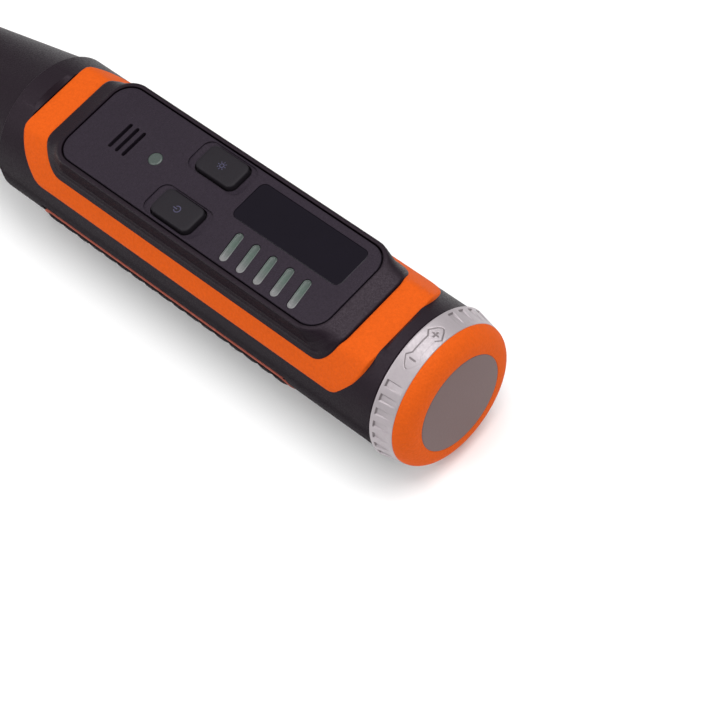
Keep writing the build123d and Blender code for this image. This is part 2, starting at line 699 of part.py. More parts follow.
with BuildPart() as dial_shaft:
    add(bar_block(SHAFT_R, SHAFT_BACK, SHAFT_FRONT))
keep(dial_shaft.part, "dial_shaft")

with BuildPart() as potentiometer:
    add(bar_block(POT_R, POT_BACK, POT_FRONT))
    add(bar_block(BUSHING_R, NUT_BACK, POT_BACK))
    add(bar_block(SHAFT_R + SHAFT_FIT, NUT_BACK, SHAFT_FRONT + 0.3), mode=Mode.SUBTRACT)
keep(potentiometer.part, "potentiometer")

with BuildPart() as potentiometer_nut:
    with BuildSketch(across(BODY_BACK)):
        RegularPolygon(NUT_R, 6)
        Circle(BUSHING_R, mode=Mode.SUBTRACT)
    extrude(amount=BODY_BACK - NUT_BACK)
keep(potentiometer_nut.part, "potentiometer_nut")

with BuildPart() as dial_seal:
    with BuildSketch(across(BODY_BACK)):
        Circle(SEAL_R)
        Circle(SEAL_BORE_R, mode=Mode.SUBTRACT)
    extrude(amount=SEAL_T)
keep(dial_seal.part, "dial_seal")

# ---------------------------------------------------------------- probe nose, tip and torch
round_back = (2 * NOSE_BACK_R, 2 * NOSE_BACK_R, NOSE_BACK_R - 0.05)
inner_r = NOSE_BACK_R - NOSE_WALL
spigot_r = CAVITY_R - 0.1   # a sliding fit in the housing
round_inside = (2 * inner_r, 2 * inner_r, inner_r - 0.05)
nose_inside = (NOSE_WIDTH - 2 * NOSE_WALL, NOSE_HEIGHT - 2 * NOSE_WALL, NOSE_CORNER - NOSE_WALL)

with BuildPart() as probe_nose:
    add(tapered(BODY_FRONT, NOSE_FRONT, round_back, (NOSE_WIDTH, NOSE_HEIGHT, NOSE_CORNER)))
    fillet(probe_nose.faces().sort_by(Axis.X)[0].edges(), NOSE_ROUND)
    add(tapered(BODY_FRONT, NOSE_FRONT - NOSE_FACE_T, round_inside, nose_inside), mode=Mode.SUBTRACT)
    with BuildSketch(across(BODY_FRONT + SPIGOT_ROOT)):
        Circle(spigot_r)
        Circle(spigot_r - SPIGOT_T, mode=Mode.SUBTRACT)
    extrude(amount=SPIGOT_LENGTH + SPIGOT_ROOT)
    with BuildSketch(across(BODY_FRONT + SPIGOT_ROOT)):
        Circle(inner_r + 2 * JOIN)
        Circle(spigot_r - SPIGOT_T, mode=Mode.SUBTRACT)
    extrude(amount=SPIGOT_ROOT)
    with BuildSketch(across(NOSE_FRONT)):
        with Locations((0, TIP_H)):
            RectangleRounded(*TIP_PLUG)
        with Locations((0, TORCH_H)):
            Circle(TORCH_LENS_R)
    extrude(amount=TIP_PLUG_LENGTH, mode=Mode.SUBTRACT)
keep(probe_nose.part, "probe_nose")

with BuildPart() as probe_tip:
    add(tapered(NOSE_FRONT, TIP_TAPER_END, TIP_BASE, TIP_END, TIP_H, TIP_H))
    add(tapered(TIP_TAPER_END, LENGTH, TIP_END, TIP_NIB, TIP_H, TIP_H))
    with BuildSketch(across(NOSE_FRONT)):
        with Locations((0, TIP_H)):
            RectangleRounded(*TIP_PLUG)
    extrude(amount=TIP_PLUG_LENGTH)
    with BuildSketch(across(BORE_END)):
        with Locations((0, TIP_H)):
            Circle(ANTENNA_R + ANTENNA_FIT)
    extrude(amount=BORE_END - NOSE_FRONT + TIP_PLUG_LENGTH, mode=Mode.SUBTRACT)
keep(probe_tip.part, "probe_tip")

with BuildPart() as sensing_antenna:
    with BuildSketch(across(ANTENNA_END)):
        with Locations((0, TIP_H)):
            Circle(ANTENNA_R)
    extrude(amount=ANTENNA_END - ANTENNA_START)
keep(sensing_antenna.part, "sensing_antenna")

with BuildPart() as sensor_board:
    with BuildSketch(level(TIP_H - ANTENNA_R - BOARD_T)):
        with Locations((middle(SENSOR_BACK, SENSOR_FRONT), 0)):
            Rectangle(SENSOR_FRONT - SENSOR_BACK, SENSOR_WIDTH)
    extrude(amount=BOARD_T)
keep(sensor_board.part, "sensor_board")

with BuildPart() as torch_lens:
    with BuildSketch(across(NOSE_FRONT)):
        with Locations((0, TORCH_H)):
            Circle(TORCH_LENS_R)
    extrude(amount=LENS_T)
keep(torch_lens.part, "torch_lens")

lens_back = NOSE_FRONT - LENS_T
with BuildPart() as torch_reflector:
    for station, outer, length in (
        (lens_back, TORCH_LENS_R, LENS_T),
        (lens_back - LENS_T, BOWL_R, BOWL_LENGTH),
    ):
        with BuildSketch(across(station)):
            with Locations((0, TORCH_H)):
                Circle(outer)
        extrude(amount=length)
    with BuildSketch(across(lens_back)):
        with Locations((0, TORCH_H)):
            Circle(TORCH_LENS_R - 2 * JOIN)
    with BuildSketch(across(NOSE_FRONT - BOWL_DEPTH)):
        with Locations((0, TORCH_H)):
            Circle(BOWL_FLOOR_R)
    loft(ruled=True, mode=Mode.SUBTRACT)
    with BuildSketch(across(NOSE_FRONT - BOWL_LENGTH)):
        with Locations((0, TORCH_H)):
            Circle(LED_HOLE_R)
    extrude(amount=BOWL_LENGTH, mode=Mode.SUBTRACT)
keep(torch_reflector.part, "torch_reflector")

with BuildPart() as torch_led:
    with BuildSketch(across(TORCH_LED_STATION)):
        with Locations((0, TORCH_H)):
            Circle(TORCH_LED_R)
    extrude(amount=TORCH_LED_LENGTH)
    fillet(torch_led.faces().sort_by(Axis.X)[0].edges(), TORCH_LED_ROUND)
keep(torch_led.part, "torch_led")
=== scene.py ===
"""Looks of a non-contact voltage tester with a rotating dial, built round its CAD frame."""
import math

import bmesh
import bpy
from mathutils import Matrix, Vector


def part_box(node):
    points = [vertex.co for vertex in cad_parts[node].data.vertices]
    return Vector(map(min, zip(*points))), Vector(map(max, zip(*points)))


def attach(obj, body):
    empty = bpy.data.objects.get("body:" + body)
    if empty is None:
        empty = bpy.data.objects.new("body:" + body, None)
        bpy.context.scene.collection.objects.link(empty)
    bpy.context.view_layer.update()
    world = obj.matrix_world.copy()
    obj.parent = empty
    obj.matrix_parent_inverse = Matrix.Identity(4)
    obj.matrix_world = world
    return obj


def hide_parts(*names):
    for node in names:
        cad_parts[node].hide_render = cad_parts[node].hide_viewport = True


bl_info = {
    "name": "Voltage Tester Dresser",
    "version": (1, 0, 0),
    "blender": (4, 5, 0),
    "location": "View3D > Sidebar > Tester",
    "description": "Builds the visible pieces of a handheld voltage tester round its CAD frame",
    "category": "Object",
}

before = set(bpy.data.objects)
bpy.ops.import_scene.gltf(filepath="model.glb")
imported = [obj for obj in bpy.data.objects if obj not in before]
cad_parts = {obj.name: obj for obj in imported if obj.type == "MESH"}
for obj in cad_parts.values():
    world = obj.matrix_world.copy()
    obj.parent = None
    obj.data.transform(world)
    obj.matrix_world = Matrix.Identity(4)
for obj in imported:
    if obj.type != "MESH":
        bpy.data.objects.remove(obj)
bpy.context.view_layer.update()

MM = 0.001
FLAT = math.radians(0.6)  # faces that meet at less than this are one
CREASE = 32               # degrees between faces that still shade as one
DOUBLES = 0.0005 * MM     # points closer than this are one
HARD_EDGE = math.radians(35)    # edges sharper than this are rounded
DIAL_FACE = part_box("dial_end_disc")[1].x
AXIS_H = (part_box("dial_ring")[0].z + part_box("dial_ring")[1].z) / 2


# ---------------------------------------------------------------- sizes and colours
class TesterSettings(bpy.types.PropertyGroup):
    """Sizes and colours of the tester's finish."""

    housing_colour: bpy.props.StringProperty(
        name="Housing", description="Black ABS of both housing halves", default="170F16"
    )
    faceplate_colour: bpy.props.StringProperty(
        name="Faceplate", description="Textured ABS of the console's inset plate", default="1F1922"
    )
    accent_colour: bpy.props.StringProperty(
        name="Accent", description="Soft orange overmould and dial cap", default="CD5414"
    )
    # The trim is the accent's TPE; its paler pink colour is a painted reflection on a grazing edge.
    trim_colour: bpy.props.StringProperty(
        name="Door trim", description="Thin bead round the battery door", default="A65A4C"
    )
    ring_colour: bpy.props.StringProperty(
        name="Dial ring", description="Silver lacquer of the dial's ring", default="A39B9F"
    )
    disc_colour: bpy.props.StringProperty(
        name="End disc", description="Warm grey lacquer of the dial's end", default="5F4A49"
    )
    edge_round: bpy.props.FloatProperty(
        name="Edge rounding", description="Rounding of moulded edges", default=0.15 * MM,
        min=0.0, unit="LENGTH",
    )
    grain: bpy.props.FloatProperty(
        name="Grain", description="Width of one grain of the moulded texture", default=0.32 * MM,
        min=0.05 * MM, unit="LENGTH",
    )
    camera_lens: bpy.props.FloatProperty(
        name="Lens", description="Focal length of the camera, in millimetres", default=124.4
    )


def settings():
    """The sizes and colours set in the sidebar."""
    return bpy.context.scene.tester


# ---------------------------------------------------------------- placing and meshing
def place(station, y, height):
    """Frame position of a point, from mm: station behind the dial face, y, height off the axis."""
    return (DIAL_FACE - station * MM, y * MM, AXIS_H + height * MM)


def skin(rows, close_rows=False):
    """Vertices and quads of a net given as rows of equally many points; each row is a loop."""
    count, width = len(rows), len(rows[0])
    verts = [tuple(point) for row in rows for point in row]
    faces = []
    for i in range(count if close_rows else count - 1):
        for j in range(width):
            k, m = (i + 1) % count, (j + 1) % width
            faces.append((i * width + j, i * width + m, k * width + m, k * width + j))
    return verts, faces


def capped(net, width):
    """The net with a flat face over its first row and over its last."""
    verts, faces = net
    last = len(verts) - width
    return verts, faces + [tuple(range(width - 1, -1, -1)), tuple(range(last, last + width))]


def joined(*nets):
    """One net of several."""
    verts, faces = [], []
    for more_verts, more_faces in nets:
        faces += [tuple(i + len(verts) for i in face) for face in more_faces]
        verts += more_verts
    return verts, faces


def smooth_by_angle(mesh, degrees=CREASE):
    """Smooth shading, with edges sharper than the angle left hard."""
    mesh.shade_smooth()
    mesh.set_sharp_from_angle(angle=math.radians(degrees))


def make_mesh(name, net, degrees=CREASE):
    """Mesh of a net with its doubles merged and its faces turned outwards."""
    mesh = bpy.data.meshes.new(name)
    mesh.from_pydata(net[0], [], net[1])
    work = bmesh.new()
    work.from_mesh(mesh)
    bmesh.ops.remove_doubles(work, verts=work.verts, dist=DOUBLES)
    bmesh.ops.recalc_face_normals(work, faces=work.faces)
    work.to_mesh(mesh)
    work.free()
    smooth_by_angle(mesh, degrees)
    return mesh


def linked(name, mesh):
    """Object for a mesh, put in the scene."""
    made = bpy.data.objects.new(name, mesh)
    bpy.context.scene.collection.objects.link(made)
    return made


def baked(carrier, name):
    """Plain mesh of an object with its modifiers worked out; the object itself goes."""
    seen = carrier.evaluated_get(bpy.context.evaluated_depsgraph_get())
    mesh = bpy.data.meshes.new_from_object(seen)
    mesh.name = name
    bpy.data.objects.remove(carrier)
    smooth_by_angle(mesh)
    return mesh


def add_piece(name, mesh, material, body, replaces=()):
    """Object for a mesh, riding on a CAD body and standing for CAD nodes."""
    made = linked(name, mesh)
    made.data.materials.clear()
    made.data.materials.append(finish(material))
    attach(made, body)
    if replaces:
        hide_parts(*replaces)
    return made


def merged_copy(node):
    """Mesh of a CAD node with its triangles joined up, for a piece that stands for it."""
    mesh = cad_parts[node].data.copy()
    work = bmesh.new()
    work.from_mesh(mesh)
    bmesh.ops.remove_doubles(work, verts=work.verts, dist=DOUBLES)
    bmesh.ops.dissolve_limit(work, angle_limit=FLAT, verts=work.verts, edges=work.edges)
    work.to_mesh(mesh)
    work.free()
    smooth_by_angle(mesh)
    return mesh


def rounded_copy(name, node, material, width, segments=2):
    """Piece that stands for a CAD node of the housing: a copy with its hard edges rounded."""
    piece = add_piece(name, merged_copy(node), material, "housing", [node])
    bevel = piece.modifiers.new("edge rounding", "BEVEL")
    bevel.width = width
    bevel.segments = segments
    bevel.limit_method = "ANGLE"
    bevel.angle_limit = HARD_EDGE
    bevel.use_clamp_overlap = True


def lathe(profile, steps=160):
    """Net of a closed (station, radius) outline turned about the tool's axis."""
    turns = [2 * math.pi * i / steps for i in range(steps)]
    rows = [
        [place(station, radius * math.sin(turn), radius * math.cos(turn)) for turn in turns]
        for station, radius in profile
    ]
    return skin(rows, close_rows=True)


def rounded_outline(half_x, half_y, corner, corner_steps=14, x_steps=24, y_steps=10):
    """Points (x, y) and outward normals round a rounded rectangle centred on zero."""
    points, normals = [], []
    spans = ((1, 1, x_steps), (-1, 1, y_steps), (-1, -1, x_steps), (1, -1, y_steps))
    for quarter, (sx, sy, straight) in enumerate(spans):
        centre = (sx * (half_x - corner), sy * (half_y - corner))
        for step in range(corner_steps + 1):
            turn = math.pi / 2 * (quarter + step / corner_steps)
            normal = (math.cos(turn), math.sin(turn))
            points.append((centre[0] + corner * normal[0], centre[1] + corner * normal[1]))
            normals.append(normal)
        nx, ny = spans[(quarter + 1) % 4][:2]
        turn = math.pi / 2 * (quarter + 1)
        end = (
            nx * (half_x - corner) + corner * math.cos(turn),
            ny * (half_y - corner) + corner * math.sin(turn),
        )
        start = points[-1]
        for step in range(1, straight):
            part = step / straight
            points.append(tuple(a + (b - a) * part for a, b in zip(start, end)))
            normals.append((math.cos(turn), math.sin(turn)))
    return points, normals


def ease(value):
    """Smooth step from 0 to 1."""
    value = min(1.0, max(0.0, value))
    return value * value * (3 - 2 * value)


# ---------------------------------------------------------------- repeating pieces
def pattern_tree(name, inputs):
    """Geometry Nodes tree with named inputs: the tree, its input node and the inputs' keys."""
    tree = bpy.data.node_groups.new(name, "GeometryNodeTree")
    keys = {}
    for label, kind in (("Geometry", "Geometry"), *inputs, ("Material", "Material")):
        socket = tree.interface.new_socket(label, in_out="INPUT", socket_type="NodeSocket" + kind)
        keys[label] = socket.identifier
    tree.interface.new_socket("Geometry", in_out="OUTPUT", socket_type="NodeSocketGeometry")
    return tree, add_node(tree, "NodeGroupInput"), keys


def close_pattern(tree, given, copies):
    """Ends a tree: its copies become real geometry and take the given material."""
    solid = add_node(tree, "GeometryNodeRealizeInstances", {"Geometry": copies})
    coloured = add_node(
        tree, "GeometryNodeSetMaterial",
        {"Geometry": solid.outputs["Geometry"], "Material": given.outputs["Material"]},
    )
    add_node(tree, "NodeGroupOutput", {"Geometry": coloured.outputs["Geometry"]})


def row_pattern():
    """Tree that sets a piece out in one straight row."""
    tree, given, keys = pattern_tree("set out in a row", (("Count", "Int"), ("Step", "Vector")))
    line = add_node(
        tree, "GeometryNodeMeshLine",
        {"Count": given.outputs["Count"], "Offset": given.outputs["Step"]},
    )
    copies = add_node(
        tree, "GeometryNodeInstanceOnPoints",
        {"Points": line.outputs["Mesh"], "Instance": given.outputs["Geometry"]},
    )
    close_pattern(tree, given, copies.outputs["Instances"])
    return tree, keys


def round_pattern():
    """Tree that sets a piece out round an axis along X."""
    tree, given, keys = pattern_tree(
        "set out round an axis", (("Count", "Int"), ("Pitch", "Float"), ("Axis Point", "Vector"))
    )
    points = add_node(
        tree, "GeometryNodeMeshLine",
        {"Count": given.outputs["Count"], "Start Location": given.outputs["Axis Point"]},
        {"Offset": (0, 0, 0)},
    )
    index = add_node(tree, "GeometryNodeInputIndex")
    angle = add_node(
        tree, "ShaderNodeMath", {0: index.outputs["Index"], 1: given.outputs["Pitch"]},
        operation="MULTIPLY",
    )
    rotation = add_node(tree, "ShaderNodeCombineXYZ", {"X": angle.outputs["Value"]})
    copies = add_node(
        tree, "GeometryNodeInstanceOnPoints",
        {
            "Points": points.outputs["Mesh"],
            "Instance": given.outputs["Geometry"],
            "Rotation": rotation.outputs["Vector"],
        },
    )
    close_pattern(tree, given, copies.outputs["Instances"])
    return tree, keys


def set_out(name, mesh, pattern, values):
    """Plain mesh of a piece set out by a Geometry Nodes tree with the given input values."""
    tree, keys = pattern
    carrier = linked(name + "_pattern", mesh)
    modifier = carrier.modifiers.new("pattern", "NODES")
    modifier.node_group = tree
    for label, value in values.items():
        modifier[keys[label]] = value
    return baked(carrier, name)


def cut_away(mesh, net):
    """The mesh with the solid of a net cut out of it."""
    block = linked(mesh.name + "_block", mesh)
    cutter = linked(mesh.name + "_cutter", make_mesh("cutter", net))
    modifier = block.modifiers.new("cut", "BOOLEAN")
    modifier.operation = "DIFFERENCE"
    modifier.solver = "EXACT"
    modifier.object = cutter
    whole = baked(block, mesh.name)
    bpy.data.objects.remove(cutter)
    return whole


# ---------------------------------------------------------------- materials
def linear(hex_colour):
    """Linear colour of an sRGB hex value."""
    parts = [int(hex_colour[i:i + 2], 16) / 255 for i in (0, 2, 4)]
    return [p / 12.92 if p <= 0.04045 else ((p + 0.055) / 1.055) ** 2.4 for p in parts] + [1.0]


def shade(hex_colour, factor):
    """Linear colour of an sRGB hex value, made lighter or darker."""
    colour = linear(hex_colour)
    return [min(1.0, part * factor) for part in colour[:3]] + [1.0]


def add_node(tree, kind, links=None, values=None, **options):
    """Adds a node with its options, socket values and incoming links."""
    made = tree.nodes.new(kind)
    for name, value in options.items():
        setattr(made, name, value)
    for socket, value in (values or {}).items():
        made.inputs[socket].default_value = value
    for socket, source in (links or {}).items():
        tree.links.new(source, made.inputs[socket])
    return made


MIX_A, MIX_B, MIX_RESULT = 6, 7, 2    # colour sockets of a Mix node


class Look:
    """A material in the making: its node tree, Principled shader and the object's coordinates."""

    def __init__(self, name, values):
        material = bpy.data.materials.new(name)
        material.use_nodes = True
        self.tree = material.node_tree
        self.shader = self.tree.nodes["Principled BSDF"]
        for socket, value in values.items():
            self.shader.inputs[socket.replace("_", " ")].default_value = value
        self.where = add_node(self.tree, "ShaderNodeTexCoord").outputs["Object"]

    def feed(self, socket, source):
        """Links a source to one of the shader's sockets."""
        self.tree.links.new(source, self.shader.inputs[socket])

    def noise(self, width, detail, roughness):
        """Strength of a noise with patches of a given width in metres."""
        made = add_node(
            self.tree, "ShaderNodeTexNoise", {"Vector": self.where},
            {"Scale": 1 / width, "Detail": detail, "Roughness": roughness},
        )
        return made.outputs["Fac"]

    def mix(self, factor, first, second, **options):
        """Mixed colour; the first colour is a socket or a value, the second a value."""
        made = add_node(
            self.tree, "ShaderNodeMix", {"Factor": factor}, {MIX_B: second}, data_type="RGBA",
            **options,
        )
        if isinstance(first, bpy.types.NodeSocket):
            self.tree.links.new(first, made.inputs[MIX_A])
        else:
            made.inputs[MIX_A].default_value = first
        return made.outputs[MIX_RESULT]

    def add_tone(self, colour, width, spread):
        """Slight uneven tone over patches of a given width in mm."""
        hex_colour = getattr(settings(), colour, colour)
        self.tone = self.mix(
            self.noise(width * MM, 3.0, 0.6),
            shade(hex_colour, 1 - spread), shade(hex_colour, 1 + spread),
        )
        self.feed("Base Color", self.tone)

    def add_grain(self, width, depth):
        """Moulded or cast grain: bumps of a given width and depth in mm."""
        self.grain = self.noise(settings().grain if width is None else width * MM, 2.0, 0.55)
        bump = add_node(
            self.tree, "ShaderNodeBump", {"Height": self.grain},
            {"Strength": 1.0, "Distance": depth * MM},
        )
        self.feed("Normal", bump.outputs["Normal"])

    def add_roughness(self, low, high):
        """Roughness that follows the grain between two values."""
        spread = add_node(
            self.tree, "ShaderNodeMapRange", {"Value": self.grain},
            {"From Min": 0.35, "From Max": 0.65, "To Min": low, "To Max": high},
        )
        self.feed("Roughness", spread.outputs["Result"])


def painted_sheen_by_facing(look):
    """Painted sheen set by which way a face looks: more on faces that look upwards than on the
    steep walls.
    """
    facing = add_node(look.tree, "ShaderNodeNewGeometry")
    split = add_node(look.tree, "ShaderNodeSeparateXYZ", {"Vector": facing.outputs["True Normal"]})
    sheen = add_node(
        look.tree, "ShaderNodeMapRange", {"Value": split.outputs["Z"]},
        {"From Min": 0.1, "From Max": 0.97, "To Min": 0.01, "To Max": 0.22},
    )
    look.feed("Specular IOR Level", sheen.outputs["Result"])


def ink_and_painted_shade(look):
    """Ink wherever the mesh is engraved, and painted shade in the grip pads' pockets, laid over the
    tone.
    """
    ink = add_node(look.tree, "ShaderNodeAttribute", attribute_name="engraving")
    look.feed("Base Color", look.mix(ink.outputs["Fac"], look.tone, linear("2E2220")))


def lamp_fade(look):
    """Tone along a light pipe, from its outer end to where the lamp shows through."""
    low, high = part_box("level_light_1")
    split = add_node(look.tree, "ShaderNodeSeparateXYZ", {"Vector": look.where})
    along = add_node(
        look.tree, "ShaderNodeMapRange", {"Value": split.outputs["Y"]},
        {"From Min": low.y, "From Max": high.y},
    )
    ramp = add_node(look.tree, "ShaderNodeValToRGB", {"Fac": along.outputs["Result"]})
    stops = ((0.0, "8E8C8E"), (0.3, "5E6462"), (0.6, "45594F"), (0.9, "3E4B46"))
    while len(ramp.color_ramp.elements) < len(stops):
        ramp.color_ramp.elements.new(0.5)
    for element, (position, colour) in zip(ramp.color_ramp.elements, stops):
        element.position = position
        element.color = linear(colour)
    speckle = look.mix(
        look.grain, ramp.outputs["Color"], linear("B8B8B8"), blend_type="MULTIPLY"
    )
    look.feed("Base Color", speckle)


BLACK_TINT = (1.0, 0.84, 0.97, 1.0)   # carbon-black ABS reflects slightly warm

# tone: a colour or the setting it comes from, the width of a patch in mm, how far it spreads
# grain: width (None for the one in the sidebar) and depth of a grain in mm
# rough: roughness where the grain is low and where it is high
# extra: what only this material has; the rest are the shader's own values
LOOKS = {
    # ABS moulded in a spark-eroded tool: a fine even grain that breaks up highlights.
    "moulded ABS": dict(
        tone=("housing_colour", 1.1, 0.14), grain=(None, 0.05), rough=(0.38, 0.56),
        extra=painted_sheen_by_facing, IOR=1.53, Specular_Tint=BLACK_TINT,
    ),
    # ABS with a coarser grain: the faceplate looks speckled beside the smoother rim.
    "textured ABS": dict(
        tone=("faceplate_colour", 0.45, 0.5), grain=(None, 0.14), rough=(0.5, 0.68),
        IOR=1.53, Specular_IOR_Level=0.25, Specular_Tint=BLACK_TINT,
    ),
    # TPE overmould: saturated, satin and slightly hazy, with a very fine leathery grain.
    "soft-touch TPE": dict(
        tone=("accent_colour", 0.6, 0.16), grain=(0.45, 0.16),
        IOR=1.5, Roughness=0.7, Specular_IOR_Level=0.06,
    ),
    # The same TPE in the thin bead round the door: paler and duller, the paler pink colour a
    # painted reflection on its edge seen at a grazing angle.
    "trim TPE": dict(
        tone=("trim_colour", 0.6, 0.16), grain=(0.45, 0.16),
        IOR=1.5, Roughness=0.7, Specular_IOR_Level=0.06,
    ),
    # Moulded nitrile rubber: darker and duller than the ABS beside it.
    "moulded rubber": dict(
        tone=("1D191E", 1.5, 0.15), grain=(0.3, 0.04),
        IOR=1.5, Roughness=0.72, Specular_IOR_Level=0.1,
    ),
    # Die-cast ring under silver lacquer: pale, satin, with a cast unevenness, dark ink in its
    # engraved lines and painted shade in its grip pads' pockets.
    "silver lacquered zinc": dict(
        tone=("ring_colour", 0.9, 0.07), grain=(0.5, 0.03), rough=(0.36, 0.5),
        extra=ink_and_painted_shade, Metallic=0.35,
    ),
    # Warm grey satin lacquer on a flat disc: nearly even, with a faint orange-peel.
    "satin lacquer": dict(
        tone=("disc_colour", 0.7, 0.07), grain=(0.4, 0.02), Metallic=0.2, Roughness=0.5
    ),
    # Smoke-black PMMA over a dark display: deep, glossy, with one clean reflection.
    "black acrylic": dict(
        tone=("110D16", 6.0, 0.12), IOR=1.49, Roughness=0.14, Specular_IOR_Level=0.2
    ),
    # Frosted PC light pipes: grey-white at the outer end, greener where the lamp shows through.
    "frosted polycarbonate": dict(
        grain=(0.35, 0.05), extra=lamp_fade,
        IOR=1.58, Roughness=0.42, Coat_Weight=0.3, Coat_Roughness=0.25,
    ),
    # Moulded silicone key: nearly black, dull, with a soft edge sheen.
    "silicone rubber": dict(
        tone=("19151B", 0.8, 0.16), grain=(0.25, 0.03),
        IOR=1.43, Roughness=0.62, Specular_IOR_Level=0.3,
    ),
    # Pad-printed ink on the keys: a muted blue-grey that sits on the silicone.
    "pad-print ink": dict(tone=("37344F", 0.5, 0.12), IOR=1.5, Roughness=0.6),
    # Natural PC of the probe tip: milky, so that it glows when lit from inside.
    "natural polycarbonate": dict(
        tone=("CFCAC0", 3.0, 0.05), grain=(0.3, 0.02), IOR=1.58, Roughness=0.38,
        Subsurface_Weight=0.3, Subsurface_Radius=(2 * MM, 2 * MM, 2 * MM), Subsurface_Scale=1.0,
    ),
    # Clear PC lens: glassy, slightly smoky, over a bright reflector.
    "clear polycarbonate": dict(
        tone=("D8DCE0", 4.0, 0.04), IOR=1.58, Roughness=0.08, Transmission_Weight=0.6
    ),
    # Zinc-plated steel: bright, with fine turning marks.
    "zinc-plated steel": dict(
        tone=("A9A8A6", 0.6, 0.1), grain=(0.12, 0.01), rough=(0.26, 0.42), Metallic=1.0
    ),
    # White paper: matt and even.
    "white paper sweep": dict(tone=("FFFFFF", 40, 0.01), Roughness=0.9),
}
INNER_LOOKS = {   # colour, how metallic and how rough
    "board laminate": ("1F5A38", 0.0, 0.35),     # green solder mask, softly glossy
    "component plastic": ("1C1C1E", 0.0, 0.5),   # black and satin
    "display glass": ("20261F", 0.0, 0.12),      # dark, with a sharp reflection
    "cell sleeve": ("2F4F7A", 0.2, 0.35),        # blue printed film, slightly metallic
    "antenna copper": ("B5713F", 1.0, 0.35),     # warm red metal
    "reflector chrome": ("D5D7D8", 1.0, 0.1),    # bright mirror
    "lamp resin": ("E6E2C8", 0.0, 0.3),          # pale yellow phosphor
}
for inner, (colour, metallic, roughness) in INNER_LOOKS.items():
    LOOKS[inner] = dict(
        tone=(colour, 1.0, 0.12), grain=(0.2, 0.01), Metallic=metallic, Roughness=roughness
    )


def make_look(name, tone=None, grain=None, rough=None, extra=None, **values):
    """Makes the material of a name from its row of LOOKS."""
    look = Look(name, values)
    if tone:
        look.add_tone(*tone)
    if grain:
        look.add_grain(*grain)
    if rough:
        look.add_roughness(*rough)
    if extra:
        extra(look)


def finish(name):
    """Material of a name, made when it is first asked for."""
    if name not in bpy.data.materials:
        make_look(name, **LOOKS[name])
    return bpy.data.materials[name]


# ---------------------------------------------------------------- housing
TAIL, BODY_FRONT = 8.7, 118.0
BODY_R, CAVITY_R = 16.4, 12.8
PARTING = -1.0
BAND_BACK, BAND_FRONT = 12.4, 112.1
BAND_HALF, BAND_CORNER = 15.4, 8.0
BAND_DECK, BAND_DECK_HALF, BAND_ROLL, ROLL_POWER = 15.0, 9.4, 2.0, 2.35
BAND_FALL, BAND_BULGE = 1.065, 0.067   # slope of the shoulders, and its growth per mm outwards
BAND_FOOT, BAND_EDGE, BAND_TUCK, BAND_LANES = 5.5, 0.35, 0.6, 9
SEAT_CAP = 14.4           # flat top of the body under the band
CREST_CHAMFER, CREST_FOOT = 0.95, 0.25
END_ROUND, SEAT_STEP, SEAT_RUN = 0.25, 0.02, 4.0
NEARLY_LEVEL = 0.2        # sine of a turn below which the body is never cut flat
BODY_CREASE, NET_CREASE = 20, 40
CONSOLE_BACK, CONSOLE_FRONT = 19.5, 105.0
CONSOLE_HALF, CONSOLE_CORNER = 13.25, 6.2
GROOVE_HALF, GROOVE_CORNER = 11.25, 4.75
GROOVE_BACK, GROOVE_FRONT = 24.25, 100.25
LEDGE_TOP = 15.3
END_BLEND = 1.25          # how soon, round a corner, the long side's profile becomes the end's


def body_shell(stations, low_angle, high_angle, outer, inner, steps=120):
    """Net of a part tube along the tool: outer and inner give the radius at a station and angle."""
    turns = [low_angle + (high_angle - low_angle) * i / steps for i in range(steps + 1)]
    rows = []
    for station in stations:
        loop = [(outer(station, turn), turn) for turn in turns]
        loop += [(inner(station, turn), turn) for turn in reversed(turns)]
        rows.append([
            place(station, radius * math.cos(turn), radius * math.sin(turn))
            for radius, turn in loop
        ])
    return capped(skin(rows), 2 * len(turns))


def upper_radius(station, turn):
    """Outer radius of the upper half: round at its ends, cut flat where the band lies on it."""
    height = math.sin(turn)
    if station <= BAND_BACK - CREST_CHAMFER or station >= BAND_FRONT + CREST_CHAMFER:
        cap = BODY_R
    elif BAND_BACK < station < BAND_FRONT:
        cap = SEAT_CAP
    else:
        cap = BAND_DECK + CREST_FOOT
    radius = BODY_R - (END_ROUND if station in (TAIL, BODY_FRONT) else 0)
    return min(radius, cap / height) if height > NEARLY_LEVEL else radius


def band_height(y):
    """Height of the band's top surface: a flat deck that rolls over into bulging shoulders."""
    beyond = abs(y) - BAND_DECK_HALF
    if beyond >= BAND_ROLL / 2:
        return BAND_DECK - BAND_FALL * beyond - BAND_BULGE * beyond ** 2
    part = max(0.0, beyond / BAND_ROLL + 0.5)
    fallen = BAND_FALL * BAND_ROLL / 2 + BAND_BULGE * BAND_ROLL ** 2 / 4
    return BAND_DECK - fallen * part ** ROLL_POWER


